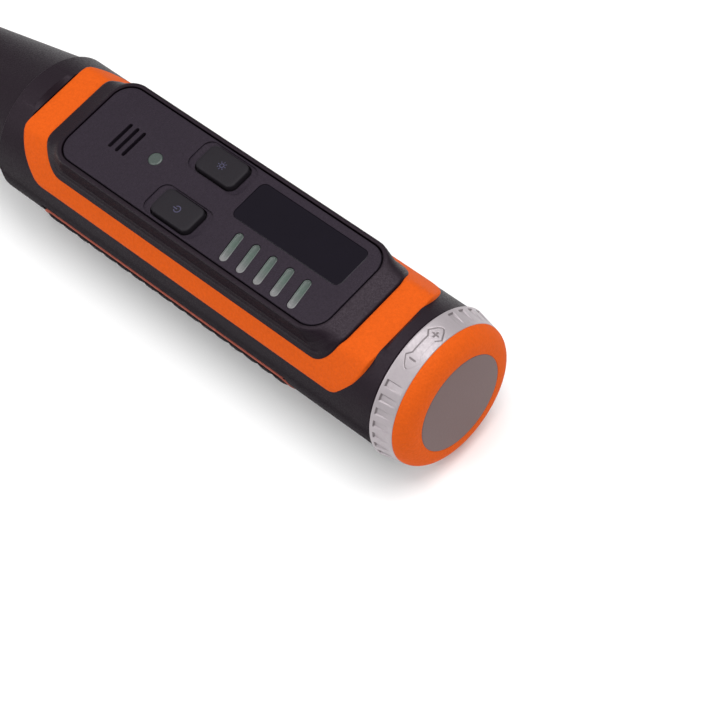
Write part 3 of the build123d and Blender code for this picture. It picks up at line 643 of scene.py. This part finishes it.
def console_rows():
    """Rows of the console's ring from its hidden foot over the rim to the faceplate's ledge.

    Each row has its inset and height on the long sides, its inset and height at the ends, and its
    corner. The rows of the skirt lie on the band, so their heights count from the band's surface.
    """
    groove_end = GROOVE_BACK - CONSOLE_BACK
    groove_side = CONSOLE_HALF - GROOVE_HALF
    skirt = [
        (0.70, -1.20, 0.70, -1.20, 5.6),
        (0.05, -0.10, 0.05, -0.10, 6.2),
        (0.00, 0.12, 0.00, 0.12, 6.2),
        (0.06, 0.30, 0.04, 0.36, 6.2),
        (0.16, 0.44, 0.14, 0.58, 6.1),
        (0.34, 0.66, 0.40, 0.76, 6.0),
    ]
    rim = [
        (0.62, 11.60, 0.85, 15.90, 5.9),
        (0.86, 12.70, 1.45, 16.06, 5.8),
        (0.94, 13.60, 2.15, 16.26, 5.7),
        (0.97, 14.90, 2.95, 16.50, 5.5),
        (1.00, 16.10, 3.60, 16.70, 5.4),
        (1.05, 16.60, 4.00, 16.84, 5.2),
        (1.18, 16.90, 4.30, 16.95, 5.1),
        (1.42, 17.00, 4.50, 17.00, 5.0),
        (groove_side - 0.12, 17.00, groove_end - 0.10, 17.00, 4.85),
        (groove_side, 16.90, groove_end, 16.90, GROOVE_CORNER),
        (groove_side, LEDGE_TOP, groove_end, LEDGE_TOP, GROOVE_CORNER),
        (groove_side + 1.2, LEDGE_TOP, groove_end + 1.2, LEDGE_TOP, 3.6),
        (groove_side + 1.2, LEDGE_TOP - 1.6, groove_end + 1.2, LEDGE_TOP - 1.6, 3.6),
    ]
    return skirt, rim


def console_ring():
    """Net of the raised ring round the faceplate."""
    middle = (CONSOLE_BACK + CONSOLE_FRONT) / 2
    half_length = (CONSOLE_FRONT - CONSOLE_BACK) / 2
    skirt, rim = console_rows()
    net_rows = []
    for number, (side_inset, side_height, end_inset, end_height, corner) in enumerate(skirt + rim):
        points, normals = rounded_outline(
            half_length - end_inset, CONSOLE_HALF - side_inset, corner
        )
        row = []
        for (x, y), (nx, ny) in zip(points, normals):
            towards_end = ease(abs(nx) * END_BLEND + 1 - END_BLEND)
            height = side_height + (end_height - side_height) * towards_end
            if number < len(skirt):
                height += band_height(y)
            row.append(place(middle + x, y, height))
        net_rows.append(row)
    return skin(net_rows, close_rows=True)


class TESTER_OT_upper_housing(bpy.types.Operator):
    """Upper half of the housing: the round body and the raised console's ring"""

    bl_idname = "tester.upper_housing"
    bl_label = "Upper Housing"

    def execute(self, context):
        low = math.asin(PARTING / BODY_R)
        back, front = BAND_BACK, BAND_FRONT
        stations = [TAIL, TAIL + END_ROUND, back - CREST_CHAMFER, back, back + SEAT_STEP]
        stations += [back + SEAT_RUN, front - SEAT_RUN, front - SEAT_STEP, front]
        stations += [front + CREST_CHAMFER, BODY_FRONT - END_ROUND, BODY_FRONT]
        shell = body_shell(
            stations, low, math.pi - low, upper_radius, lambda station, turn: CAVITY_R
        )
        body = make_mesh("upper_housing_shell", shell, BODY_CREASE)
        add_piece(
            "upper_housing_shell", body, "moulded ABS", "housing", ["upper_housing"]
        )
        ring = make_mesh("console_rim", console_ring(), NET_CREASE)
        add_piece("console_rim", ring, "moulded ABS", "housing")
        return {"FINISHED"}


class TESTER_OT_lower_housing(bpy.types.Operator):
    """Lower half of the housing with its screw wells"""

    bl_idname = "tester.lower_housing"
    bl_label = "Lower Housing"

    def execute(self, context):
        rounded_copy(
            "lower_housing_shell", "lower_housing", "moulded ABS",
            settings().edge_round,
        )
        return {"FINISHED"}


# ---------------------------------------------------------------- accent band
class TESTER_OT_accent_band(bpy.types.Operator):
    """Soft orange band that runs round the console"""

    bl_idname = "tester.accent_band"
    bl_label = "Accent Band"

    def execute(self, context):
        middle = (BAND_BACK + BAND_FRONT) / 2
        half_length = (BAND_FRONT - BAND_BACK) / 2
        inner_half = (CONSOLE_FRONT - CONSOLE_BACK) / 2 - BAND_TUCK
        inner_side = CONSOLE_HALF - BAND_TUCK
        edge = BAND_EDGE
        spans = [
            (half_length, BAND_HALF, BAND_CORNER, None),
            (half_length, BAND_HALF, BAND_CORNER, edge),
            (half_length - 0.1, BAND_HALF - 0.1, BAND_CORNER, edge * 0.28),
            (half_length - edge, BAND_HALF - edge, BAND_CORNER - edge, 0.0),
        ]
        for i in range(1, BAND_LANES + 1):
            part = i / BAND_LANES
            spans.append((
                half_length - edge + (inner_half - half_length + edge) * part,
                BAND_HALF - edge + (inner_side - BAND_HALF + edge) * part,
                BAND_CORNER - edge + (CONSOLE_CORNER - BAND_CORNER) * part,
                0.0,
            ))
        net_rows = []
        for half_x, half_y, corner, drop in spans:
            points = rounded_outline(half_x, half_y, corner)[0]
            net_rows.append([
                place(middle + x, y, BAND_FOOT if drop is None else band_height(y) - drop)
                for x, y in points
            ])
        points = rounded_outline(inner_half, inner_side, CONSOLE_CORNER)[0]
        net_rows.append([place(middle + x, y, BAND_FOOT) for x, y in points])
        net = skin(net_rows, close_rows=True)
        mesh = make_mesh("accent_band_overmould", net, NET_CREASE)
        add_piece(
            "accent_band_overmould", mesh, "soft-touch TPE", "housing", ["accent_band"],
        )
        return {"FINISHED"}


# ---------------------------------------------------------------- faceplate, window, lights, keys
PLATE_ROUND, WINDOW_ROUND = 0.12 * MM, 0.15 * MM


class TESTER_OT_faceplate(bpy.types.Operator):
    """Inset faceplate and the display window in it"""

    bl_idname = "tester.faceplate"
    bl_label = "Faceplate and Window"

    def execute(self, context):
        rounded_copy(
            "faceplate", "console_faceplate", "textured ABS", PLATE_ROUND
        )
        rounded_copy(
            "window_pane", "display_window", "black acrylic", WINDOW_ROUND, 3
        )
        return {"FINISHED"}


BARS, BAR_PITCH, BAR_FIRST = 5, 4.72, 33.3
BAR_MIDDLE_Y, BAR_LENGTH, BAR_WIDTH = -6.33, 7.4, 2.0
BAR_TILT = math.radians(-9.2)
BAR_TOP, BAR_FOOT = 16.8, 14.9
BAR_INSET = 0.06
BAR_CROWN = ((0.06, 0.14), (0.12, 0.03), (0.2, 0.0), (0.28, 0.02), (0.38, 0.14), (0.5, 0.17))
SHARP = 0.02              # least corner radius of a rounded block


def rounded_prism(centre, half_x, half_y, corner, levels, turn=0.0, steps=8):
    """Net of an upright rounded block: levels give inset and height from foot to crown."""
    rows = []
    for inset, height in levels:
        points = rounded_outline(
            half_x - inset, half_y - inset, max(SHARP, corner - inset), steps, 4, 4
        )[0]
        rows.append([
            place(
                centre[0] + x * math.cos(turn) - y * math.sin(turn),
                centre[1] + x * math.sin(turn) + y * math.cos(turn),
                height,
            )
            for x, y in points
        ])
    return capped(skin(rows), len(rows[0]))


class TESTER_OT_level_lights(bpy.types.Operator):
    """Row of tilted level lights beside the window"""

    bl_idname = "tester.level_lights"
    bl_label = "Level Lights"

    def execute(self, context):
        levels = [(BAR_INSET, BAR_FOOT)] + [(inset, BAR_TOP - drop) for inset, drop in BAR_CROWN]
        bar = make_mesh("level_light", rounded_prism(
            (BAR_FIRST, BAR_MIDDLE_Y), BAR_WIDTH / 2, BAR_LENGTH / 2, BAR_WIDTH / 2 - SHARP / 2,
            levels, BAR_TILT,
        ))
        material = "frosted polycarbonate"
        lights = set_out("level_lights", bar, row_pattern(), {
            "Count": BARS, "Step": (-BAR_PITCH * MM, 0, 0), "Material": finish(material),
        })
        nodes = [f"level_light_{i + 1}" for i in range(BARS)]
        add_piece("level_lights", lights, material, "housing", nodes)
        return {"FINISHED"}


KEY_STATION, KEY_Y = 67.2, 6.55
KEY_HALF_X, KEY_HALF_Y, KEY_CORNER = 5.4, 3.25, 1.5
KEY_TOP, KEY_FOOT, KEY_FLANGE_TOP = 17.75, 14.95, 15.25
KEY_FLANGE, KEY_CREASE, MARK_INK = 0.8, 50, 0.1
KEY_CROWN = (   # inset and drop below the top, from the wall to the dished middle
    (0, 0.45), (0.05, 0.28), (0.16, 0.15), (0.34, 0.08), (0.8, 0.05), (1.9, 0.02), (3.0, 0.02),
)
POWER_RING, TORCH_RING = (0.72, 0.22), (0.45, 0.2)   # radius and width
POWER_START, POWER_SWEEP = math.radians(35), math.radians(290)
POWER_BAR, TORCH_RAY = (0.55, 0.11, 0.08), (0.18, 0.09, 0.07)   # half length, half width, corner
TORCH_RAYS, TORCH_RAY_R = 8, 0.88


def key_net(y):
    """Net of a key: a flange under the faceplate and a cap with a softly dished top."""
    levels = [(-KEY_FLANGE, KEY_FOOT), (-KEY_FLANGE, KEY_FLANGE_TOP), (0, KEY_FLANGE_TOP)]
    levels += [(inset, KEY_TOP - drop) for inset, drop in KEY_CROWN]
    return rounded_prism((KEY_STATION, y), KEY_HALF_X, KEY_HALF_Y, KEY_CORNER, levels, steps=10)


def ring_arc(centre, radius, width, low, high, start, sweep, steps=40):
    """Net of a flat open ring, such as a power mark's circle; angles in radians."""
    rows = []
    for i in range(steps + 1):
        turn = start + sweep * i / steps
        rows.append([
            place(centre[0] + r * math.cos(turn), centre[1] + r * math.sin(turn), height)
            for r, height in (
                (radius - width / 2, low), (radius - width / 2, high),
                (radius + width / 2, high), (radius + width / 2, low),
            )
        ])
    return capped(skin(rows), 4)


class TESTER_OT_keys(bpy.types.Operator):
    """Power key and torch key with their printed marks"""

    bl_idname = "tester.keys"
    bl_label = "Keys"

    def execute(self, context):
        low, high = KEY_TOP - MARK_INK, KEY_TOP
        slab = [(0, low), (0, high)]
        for name, y in (("power", -KEY_Y), ("torch", KEY_Y)):
            cap = make_mesh(f"{name}_key_cap", key_net(y), KEY_CREASE)
            add_piece(
                f"{name}_key_cap", cap, "silicone rubber", f"{name}_key", [f"{name}_button"],
            )
            centre = (KEY_STATION, y)
            if name == "power":
                ring = ring_arc(centre, *POWER_RING, low, high, POWER_START, POWER_SWEEP)
                bar = rounded_prism((KEY_STATION + POWER_BAR[0], y), *POWER_BAR, slab)
                mark = joined(ring, bar)
            else:
                ring = ring_arc(centre, *TORCH_RING, low, high, 0, 2 * math.pi)
                rays = []
                for i in range(TORCH_RAYS):
                    turn = 2 * math.pi * i / TORCH_RAYS
                    spot = (
                        KEY_STATION + TORCH_RAY_R * math.cos(turn), y + TORCH_RAY_R * math.sin(turn)
                    )
                    rays.append(rounded_prism(spot, *TORCH_RAY, slab, turn))
                mark = joined(ring, *rays)
            mesh = make_mesh(f"{name}_key_mark", mark)
            add_piece(
                f"{name}_key_mark", mesh, "pad-print ink", f"{name}_key"
            )
        return {"FINISHED"}


# ---------------------------------------------------------------- dial
RING_FRONT, RING_WIDEST, RING_BACK = 3.4, 8.1, 8.4
RING_FRONT_R, RING_BACK_R, RING_BORE_R = 16.0, 16.99, 14.0
RING_CHAMFER, RING_LANES = 0.12, 44
PADS, PAD_START = 28, math.radians(26.1)
PAD_PITCH = math.radians((360 - 56.7) / 28)
PAD_WIDTH = math.radians(5.2)
PAD_BACK, PAD_FRONT, PAD_DEPTH = 7.5, 3.95, 0.4
PAD_OVERRUN, PAD_END_WALL, PAD_SIDE_WALL, PAD_SLOPE = 1.03, 0.05, 0.06, 0.8   # shares of a pad
PAD_COLUMNS, MARK_COLUMNS, RING_CREASE, DISC_CREASE = 26, 210, 35, 30
MARK_MIDDLE_TURN, MARK_MIDDLE = math.radians(-2.0), 5.65
MARK_DEPTH, LINE_EDGE = 0.14, 0.1
ARROW_HALF = ((7.8, 0.9), (11.4, 1.7), (17.2, 0.78), (19.0, 0.3), (19.3, 0.0))
ARROW_LINE, SIGN_LINE = 0.11, 0.26
FRESH_LINE, WORN_LINE, SIGN_DARKNESS = 0.66, 0.08, 0.6
SIGN_TURN, SIGN_SIZE = 11.9, 0.62
CAP_LIP = ((1.2, 10.6), (0.45, 10.6), (0.12, 10.98), (0.0, 11.12), (0.02, 11.5))
CAP_FACE, CAP_CROWN_R, CAP_R, CAP_HEM_R = 0.02, 11.6, 15.92, 15.8
CAP_FALL, CAP_SPREAD, CAP_STEPS = 1.06, 0.96, 22   # how far the cap's shoulder is from an ellipse
DISC_OUTLINE = ((0.9, 0.0), (0.9, 10.95), (0.10, 10.95), (0.03, 10.85), (0.0, 10.7), (0.0, 0.0))


def ring_radius(station):
    """Outer radius of the dial ring, which widens towards the body."""
    part = (station - RING_FRONT) / (RING_WIDEST - RING_FRONT)
    return RING_FRONT_R + (RING_BACK_R - RING_FRONT_R) * min(1.0, part)


def segment_distance(point, start, end):
    """Distance of a point from a line between two others."""
    along, offset = end - start, point - start
    part = min(1.0, max(0.0, offset.dot(along) / along.length_squared))
    return (offset - along * part).length


def mark_lines():
    """Lines of the sensitivity mark as (start, end, width, darkness).

    It is a double-headed arrow with a plus and a minus in its heads. The side of the arrow that
    faces the cap is worn and fainter.
    """
    def spot(degrees, across):
        return Vector((math.radians(degrees) * RING_FRONT_R, across))

    lines = []
    for edge in (1, -1):
        side = [spot(a, edge * d) for a, d in reversed(ARROW_HALF)]
        side = [Vector((-point.x, point.y)) for point in side] + side[::-1]
        for start, end in zip(side, side[1:]):
            worn = edge < 0 and start.x + end.x < 2 * spot(ARROW_HALF[0][0], 0).x
            lines.append((start, end, ARROW_LINE, WORN_LINE if worn else FRESH_LINE))
    reach = Vector((0, SIGN_SIZE))
    for centre in (spot(SIGN_TURN, 0), spot(-SIGN_TURN, 0)):
        lines.append((centre - reach, centre + reach, SIGN_LINE, SIGN_DARKNESS))
    centre, reach = spot(SIGN_TURN, 0), Vector((SIGN_SIZE, 0))
    lines.append((centre - reach, centre + reach, SIGN_LINE, SIGN_DARKNESS))
    return lines


def mark_strength(turn, station, lines):
    """How strongly a line of the mark shows at a point: its depth and its darkness."""
    spot = Vector(((turn - MARK_MIDDLE_TURN) * RING_FRONT_R, station - MARK_MIDDLE))
    return max(
        strength * (1 - ease((segment_distance(spot, start, end) - width * 0.5) / LINE_EDGE))
        for start, end, width, strength in lines
    )


def pad_relief(turn, station):
    """Depth of a grip pad's wedge pocket; turn runs from the sector's first edge."""
    offset = (turn - PAD_PITCH / 2) / PAD_WIDTH + 0.5
    if not 0 <= offset <= 1:
        return 0.0
    lengthwise = (station - PAD_FRONT) / (PAD_BACK - PAD_FRONT)
    if not 0 <= lengthwise <= PAD_OVERRUN:
        return 0.0
    wall = min(
        1.0, (PAD_OVERRUN - lengthwise) / PAD_END_WALL,
        offset / PAD_SIDE_WALL, (1 - offset) / PAD_SIDE_WALL,
    )
    return PAD_DEPTH * lengthwise ** PAD_SLOPE * wall


def pad_shadow(within, turn, station):
    """Darkness of painted shade along a pad's deep end and its upper edge, where the pocket's walls
    are in shadow.
    """
    offset = (within - PAD_PITCH / 2) / PAD_WIDTH + 0.5
    lengthwise = (station - PAD_FRONT) / (PAD_BACK - PAD_FRONT)
    if not (-0.02 <= offset <= 1.02 and 0 <= lengthwise <= 1.05):
        return 0.0
    upper = offset if math.sin(turn) > 0 else 1 - offset
    deep_end = ease((lengthwise - 0.94) / 0.06)
    upper_edge = ease(1 - upper / 0.1) * ease(lengthwise / 0.6)
    return 0.65 * max(deep_end, upper_edge)


def ring_sector(first, sweep, columns, relief):
    """Net of part of the dial ring, about the X axis, with a relief cut in its outer face."""
    start = RING_FRONT + RING_CHAMFER
    profile = [(RING_FRONT, RING_BORE_R), (RING_FRONT, RING_FRONT_R - 0.08)]
    for i in range(RING_LANES + 1):
        profile.append((start + (RING_WIDEST - RING_FRONT - RING_CHAMFER) * i / RING_LANES, None))
    profile += [(RING_BACK - 0.08, RING_BACK_R - 0.04), (RING_BACK, RING_BACK_R - 0.25)]
    profile += [(RING_BACK, RING_BORE_R)]
    rows = []
    for i in range(columns + 1):
        turn = sweep * i / columns
        row = []
        for station, radius in profile:
            if radius is None:
                radius = ring_radius(station) - relief(turn, station)
            row.append((
                DIAL_FACE - station * MM,
                radius * MM * math.sin(first + turn),
                radius * MM * math.cos(first + turn),
            ))
        rows.append(row)
    return skin(rows)


class TESTER_OT_dial(bpy.types.Operator):
    """Dial: silver ring with grip pads and sensitivity mark, orange cap and flat end disc"""

    bl_idname = "tester.dial"
    bl_label = "Dial"

    def execute(self, context):
        pad_net = ring_sector(PAD_START, PAD_PITCH, PAD_COLUMNS, pad_relief)
        pad_mesh = bpy.data.meshes.new("grip_pad")
        pad_mesh.from_pydata(pad_net[0], [], pad_net[1])
        silver = "silver lacquered zinc"
        pads = set_out("grip_pads", pad_mesh, round_pattern(), {
            "Count": PADS, "Pitch": -PAD_PITCH, "Axis Point": (0, 0, AXIS_H),
            "Material": finish(silver),
        })
        pad_verts = [tuple(vertex.co) for vertex in pads.vertices]
        pad_faces = [tuple(face.vertices) for face in pads.polygons]

        lines = mark_lines()
        mark_sweep = 2 * math.pi - PADS * PAD_PITCH
        mark_start = PAD_START - mark_sweep

        def mark_relief(turn, station):
            return MARK_DEPTH * mark_strength(mark_start + turn, station, lines)

        verts, faces = ring_sector(mark_start, mark_sweep, MARK_COLUMNS, mark_relief)
        lifted = [(x, y, z + AXIS_H) for x, y, z in verts]
        ring = make_mesh(
            "dial_ring_casting", joined((pad_verts, pad_faces), (lifted, faces)), RING_CREASE
        )
        # Each point's darkness on the ring: ink in the mark's engraved lines, or painted shade in a
        # grip pad's pocket.
        values = []
        for vertex in ring.vertices:
            y, z = vertex.co.y, vertex.co.z - AXIS_H
            turn, radius = math.atan2(y, z), math.hypot(y, z) / MM
            station = (DIAL_FACE - vertex.co.x) / MM
            value = 0.0
            if radius > RING_FRONT_R - 1 and mark_start < turn < PAD_START:
                value = mark_strength(turn, station, lines)
            elif radius > RING_FRONT_R - 1:
                value = pad_shadow((turn - PAD_START) % (2 * math.pi) % PAD_PITCH, turn, station)
            values.append(value)
        ring.attributes.new("engraving", "FLOAT", "POINT").data.foreach_set("value", values)
        add_piece("dial_ring_casting", ring, silver, "dial", ["dial_ring"])

        cap_profile = [(RING_FRONT, RING_BORE_R), *CAP_LIP]
        for i in range(1, CAP_STEPS):
            turn = math.pi / 2 * i / CAP_STEPS
            cap_profile.append((
                RING_FRONT - (RING_FRONT - CAP_FACE) * math.cos(turn) ** CAP_FALL,
                CAP_CROWN_R + (CAP_R - CAP_CROWN_R) * math.sin(turn) ** CAP_SPREAD,
            ))
        cap_profile += [(RING_FRONT - 0.05, CAP_R), (RING_FRONT, CAP_HEM_R)]
        cap = make_mesh("dial_cap_overmould", lathe(cap_profile), NET_CREASE)
        add_piece("dial_cap_overmould", cap, "soft-touch TPE", "dial", ["dial_cap"])

        disc = make_mesh("end_disc_plate", lathe(DISC_OUTLINE), DISC_CREASE)
        add_piece("end_disc_plate", disc, "satin lacquer", "dial", ["dial_end_disc"])
        return {"FINISHED"}


# ---------------------------------------------------------------- battery door
RIBS, RIB_PITCH, RIB_WIDTH, RIB_R = 17, 4.2, 2.3, 16.95
DOOR_BACK, DOOR_FRONT = 33.0, 106.0
DOOR_INNER_R, DOOR_FOOT, REST_HALF = 14.9, 17.05, 6.5
TRIM_TOP, TRIM_HALF_WIDTH, TRIM_R, TRIM_FOOT, TRIM_CORNER = -1.85, 0.2, 16.62, 17.3, 2.2
TRIM_DEPTH, TRIM_ROUND = 1.2, 0.12
DOOR_GAP, DOOR_CHAMFER, RIB_ROOT = 0.1, 0.2, 0.1
RIB_FLANK = ((0.0, 0.0), (0.12, 0.55), (0.35, 0.88), (0.7, 1.0))   # way in, and share of its height
DOOR_EDGE_TURN = math.radians(82.0)   # from straight down to the door's upper edge
DOOR_SCREW, SCREW_WELL_R, SCREW_HOLE_R, SCREW_HEAD = 38.0, 2.9, 1.3, 1.3


def under_radius(turn, radius, foot):
    """Radius of the underside at an angle from straight down: a flat foot, then round."""
    turn = abs(turn)
    corner = math.atan2(REST_HALF, foot)
    touch = corner + math.acos(radius / math.hypot(REST_HALF, foot))
    if turn < corner:
        return foot / math.cos(turn)
    return radius / math.cos(touch - turn) if turn < touch else radius


def under_point(station, turn, radius):
    """Position on the underside at an angle from straight down."""
    return place(station, radius * math.sin(turn), -radius * math.cos(turn))


def under_strip(levels, edge_turn, inner, steps=96):
    """Net of a strip that wraps the underside: levels give station, radius and foot height."""
    turns = [edge_turn * (2 * i / steps - 1) for i in range(steps + 1)]
    rows = []
    for station, radius, foot in levels:
        row = [under_point(station, turn, under_radius(turn, radius, foot)) for turn in turns]
        row += [under_point(station, turn, inner) for turn in reversed(turns)]
        rows.append(row)
    return capped(skin(rows), len(rows[0]))


def upright_drum(station, profile, steps=48):
    """Net of a (radius, height) outline turned about an upright line under the tool."""
    turns = [2 * math.pi * i / steps for i in range(steps)]
    return skin([
        [place(station + radius * math.cos(t), radius * math.sin(t), height) for t in turns]
        for radius, height in profile
    ])


class TESTER_OT_battery_door(bpy.types.Operator):
    """Ribbed battery door on the underside and the orange trim round it"""

    bl_idname = "tester.battery_door"
    bl_label = "Battery Door"

    def execute(self, context):
        inset = TRIM_HALF_WIDTH * 2 + DOOR_GAP
        ends = (DOOR_BACK + inset, DOOR_FRONT - inset)
        edge = (BODY_R - DOOR_CHAMFER, DOOR_FOOT - DOOR_CHAMFER)
        levels = [
            (ends[0], *edge), (ends[0] + DOOR_CHAMFER, BODY_R, DOOR_FOOT),
            (ends[1] - DOOR_CHAMFER, BODY_R, DOOR_FOOT), (ends[1], *edge),
        ]
        seat = (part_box("door_screw")[0].z - AXIS_H) / MM + SCREW_HEAD
        below = -AXIS_H / MM - 1
        above = 1 - DOOR_INNER_R
        well = upright_drum(DOOR_SCREW, (
            (0.0, below), (SCREW_WELL_R, below), (SCREW_WELL_R, seat), (SCREW_HOLE_R, seat),
            (SCREW_HOLE_R, above), (0.0, above),
        ))
        shell = make_mesh("battery_door_shell", under_strip(levels, DOOR_EDGE_TURN, DOOR_INNER_R))
        shell = cut_away(shell, well)
        rubber = "moulded rubber"
        add_piece(
            "battery_door_shell", shell, rubber, "housing", ["battery_door"]
        )
        first = (ends[0] + ends[1] - (RIBS - 1) * RIB_PITCH - RIB_WIDTH) / 2
        foot = AXIS_H / MM
        far_flank = [(RIB_WIDTH - along, part) for along, part in reversed(RIB_FLANK)]
        rib_levels = [
            (first + along, BODY_R - RIB_ROOT + (RIB_R - BODY_R + RIB_ROOT) * part,
             DOOR_FOOT - RIB_ROOT + (foot - DOOR_FOOT + RIB_ROOT) * part)
            for along, part in (*RIB_FLANK, *far_flank)
        ]
        rib = make_mesh(
            "grip_rib", under_strip(rib_levels, DOOR_EDGE_TURN - 0.02, BODY_R - 0.4, 72)
        )
        ribs = set_out("grip_ribs", rib, row_pattern(), {
            "Count": RIBS, "Step": (-RIB_PITCH * MM, 0, 0), "Material": finish(rubber),
        })
        add_piece("grip_ribs", cut_away(ribs, well), rubber, "housing")

        half_arc = (math.pi / 2 + math.asin(TRIM_TOP / BODY_R)) * BODY_R
        middle, half_length = (DOOR_BACK + DOOR_FRONT) / 2, (DOOR_FRONT - DOOR_BACK) / 2
        rows = []
        wide = 2 * TRIM_HALF_WIDTH
        for inward, rise in (
            (0, -TRIM_DEPTH), (0, -TRIM_ROUND), (TRIM_ROUND, 0), (wide - TRIM_ROUND, 0),
            (wide, -TRIM_ROUND), (wide, -TRIM_DEPTH),
        ):
            points = rounded_outline(
                half_length - inward, half_arc - inward, TRIM_CORNER - inward, 10, 60, 48
            )[0]
            row = []
            for x, arc in points:
                turn = arc / BODY_R
                radius = under_radius(turn, TRIM_R, TRIM_FOOT) + rise
                row.append(under_point(middle + x, turn, radius))
            rows.append(row)
        trim = make_mesh("door_trim_bead", skin(rows, close_rows=True), NET_CREASE)
        add_piece("door_trim_bead", trim, "trim TPE", "housing", ["door_trim"])
        return {"FINISHED"}


# ---------------------------------------------------------------- probe end
class TESTER_OT_probe(bpy.types.Operator):
    """Probe nose, its milky tip and the torch lens below it"""

    bl_idname = "tester.probe"
    bl_label = "Probe"

    def execute(self, context):
        for name, node, material, slot, width, segments in (
            ("nose_moulding", "probe_nose", "moulded ABS", "housing_abs", 0.4, 3),
            ("tip_moulding", "probe_tip", "natural polycarbonate", "tip_pc", 0.5, 4),
            ("torch_lens_moulding", "torch_lens", "clear polycarbonate", "light_pipe_pc", 0.2, 3),
        ):
            rounded_copy(name, node, material, width * MM, segments)
        return {"FINISHED"}


# ---------------------------------------------------------------- inner parts
INNER_PARTS = {
    "board laminate": ("main_board", "sensor_board"),
    "component plastic": (
        "buzzer", "potentiometer", "power_switch", "torch_switch", "battery_tray",
    ),
    "display glass": ("display_module",),
    "cell sleeve": ("battery_cell_1", "battery_cell_2"),
    "antenna copper": ("sensing_antenna",),
    "reflector chrome": ("torch_reflector",),
    "lamp resin": ("torch_led", "level_leds"),
    "zinc-plated steel": (
        "battery_spring_1", "battery_spring_2", "battery_contacts", "dial_shaft",
        "potentiometer_nut", "housing_screws", "door_screw",
    ),
    "frosted polycarbonate": ("alert_lens",),
    "moulded rubber": ("dial_seal",),
}


class TESTER_OT_inner_parts(bpy.types.Operator):
    """Finish of every part that stays as the CAD made it"""

    bl_idname = "tester.inner_parts"
    bl_label = "Inner Parts"

    def execute(self, context):
        finishes = {node: name for name, nodes in INNER_PARTS.items() for node in nodes}
        for node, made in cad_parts.items():
            made.data.materials.clear()
            made.data.materials.append(finish(finishes.get(node, "moulded ABS")))
        return {"FINISHED"}


# ---------------------------------------------------------------- stage
CAMERA_FROM_DIAL = (0.21202, -0.14702, 0.41200)
CAMERA_AZIMUTH, CAMERA_ELEVATION, CAMERA_ROLL = 58.70, 56.36, 18.98
FLOOR_REACH, WORLD_STRENGTH = 3.0, 0.42
LIGHTS = (   # name, azimuth and elevation in degrees, distance and size in metres, power in watts
    ("overhead softbox", 147, 72, 0.9, 0.7, 6.9),
    ("front softbox", 70, 40, 0.9, 0.6, 1.3),
    ("side softbox", -30, 40, 1.0, 0.6, 2.8),
    ("rim strip", -66, 62, 0.9, 0.22, 0.9),
)


def area_light(name, azimuth, elevation, distance, size, power):
    """Square soft light that faces the dial from a direction round the tool."""
    turn, rise = math.radians(azimuth), math.radians(elevation)
    away = Vector((
        math.cos(rise) * math.sin(turn), -math.cos(rise) * math.cos(turn), math.sin(rise)
    ))
    data = bpy.data.lights.new(name, "AREA")
    data.size = size
    data.energy = power
    lamp = bpy.data.objects.new(name, data)
    lamp.location = Vector((0.05, 0, AXIS_H)) + away * distance
    lamp.rotation_euler = away.to_track_quat("Z", "Y").to_euler()
    bpy.context.scene.collection.objects.link(lamp)


class TESTER_OT_stage(bpy.types.Operator):
    """Camera, pale floor and soft studio light"""

    bl_idname = "tester.stage"
    bl_label = "Stage"

    def execute(self, context):
        scene = context.scene
        scene.view_settings.view_transform = "Standard"
        lens = bpy.data.cameras.new("camera")
        lens.sensor_width = 36.0
        lens.lens = settings().camera_lens
        lens.clip_start = 0.01
        camera = bpy.data.objects.new("camera", lens)
        turn = (
            Matrix.Rotation(math.radians(CAMERA_AZIMUTH), 4, "Z")
            @ Matrix.Rotation(math.radians(90 - CAMERA_ELEVATION), 4, "X")
            @ Matrix.Rotation(math.radians(-CAMERA_ROLL), 4, "Z")
        )
        spot = Vector((DIAL_FACE, 0, AXIS_H)) + Vector(CAMERA_FROM_DIAL)
        camera.matrix_world = Matrix.Translation(spot) @ turn
        scene.collection.objects.link(camera)
        scene.camera = camera

        far = FLOOR_REACH
        mesh = bpy.data.meshes.new("floor")
        corners = [(-far, -far, 0), (far, -far, 0), (far, far, 0), (-far, far, 0)]
        mesh.from_pydata(corners, [], [(0, 1, 2, 3)])
        mesh.materials.append(finish("white paper sweep"))
        linked("floor", mesh)

        world = bpy.data.worlds.new("studio")
        scene.world = world
        world.use_nodes = True
        background = world.node_tree.nodes["Background"]
        background.inputs["Color"].default_value = (1, 1, 1, 1)
        background.inputs["Strength"].default_value = WORLD_STRENGTH
        for light in LIGHTS:
            area_light(*light)
        return {"FINISHED"}


# ---------------------------------------------------------------- add-on
STEPS = (
    TESTER_OT_stage,
    TESTER_OT_upper_housing,
    TESTER_OT_lower_housing,
    TESTER_OT_accent_band,
    TESTER_OT_faceplate,
    TESTER_OT_level_lights,
    TESTER_OT_keys,
    TESTER_OT_dial,
    TESTER_OT_battery_door,
    TESTER_OT_probe,
    TESTER_OT_inner_parts,
)


class TESTER_PT_pieces(bpy.types.Panel):
    """Buttons that build each piece of the tester"""

    bl_idname = "TESTER_PT_pieces"
    bl_label = "Voltage Tester"
    bl_space_type = "VIEW_3D"
    bl_region_type = "UI"
    bl_category = "Tester"

    def draw(self, context):
        for name in TesterSettings.__annotations__:
            self.layout.prop(context.scene.tester, name)
        for step in STEPS:
            self.layout.operator(step.bl_idname)


def register():
    for made in (TesterSettings, *STEPS, TESTER_PT_pieces):
        bpy.utils.register_class(made)
    bpy.types.Scene.tester = bpy.props.PointerProperty(type=TesterSettings)


def unregister():
    del bpy.types.Scene.tester
    for made in reversed((TesterSettings, *STEPS, TESTER_PT_pieces)):
        bpy.utils.unregister_class(made)


def main():
    register()
    for step in STEPS:
        group, name = step.bl_idname.split(".")
        getattr(getattr(bpy.ops, group), name)()


if __name__ == "__main__":
    main()
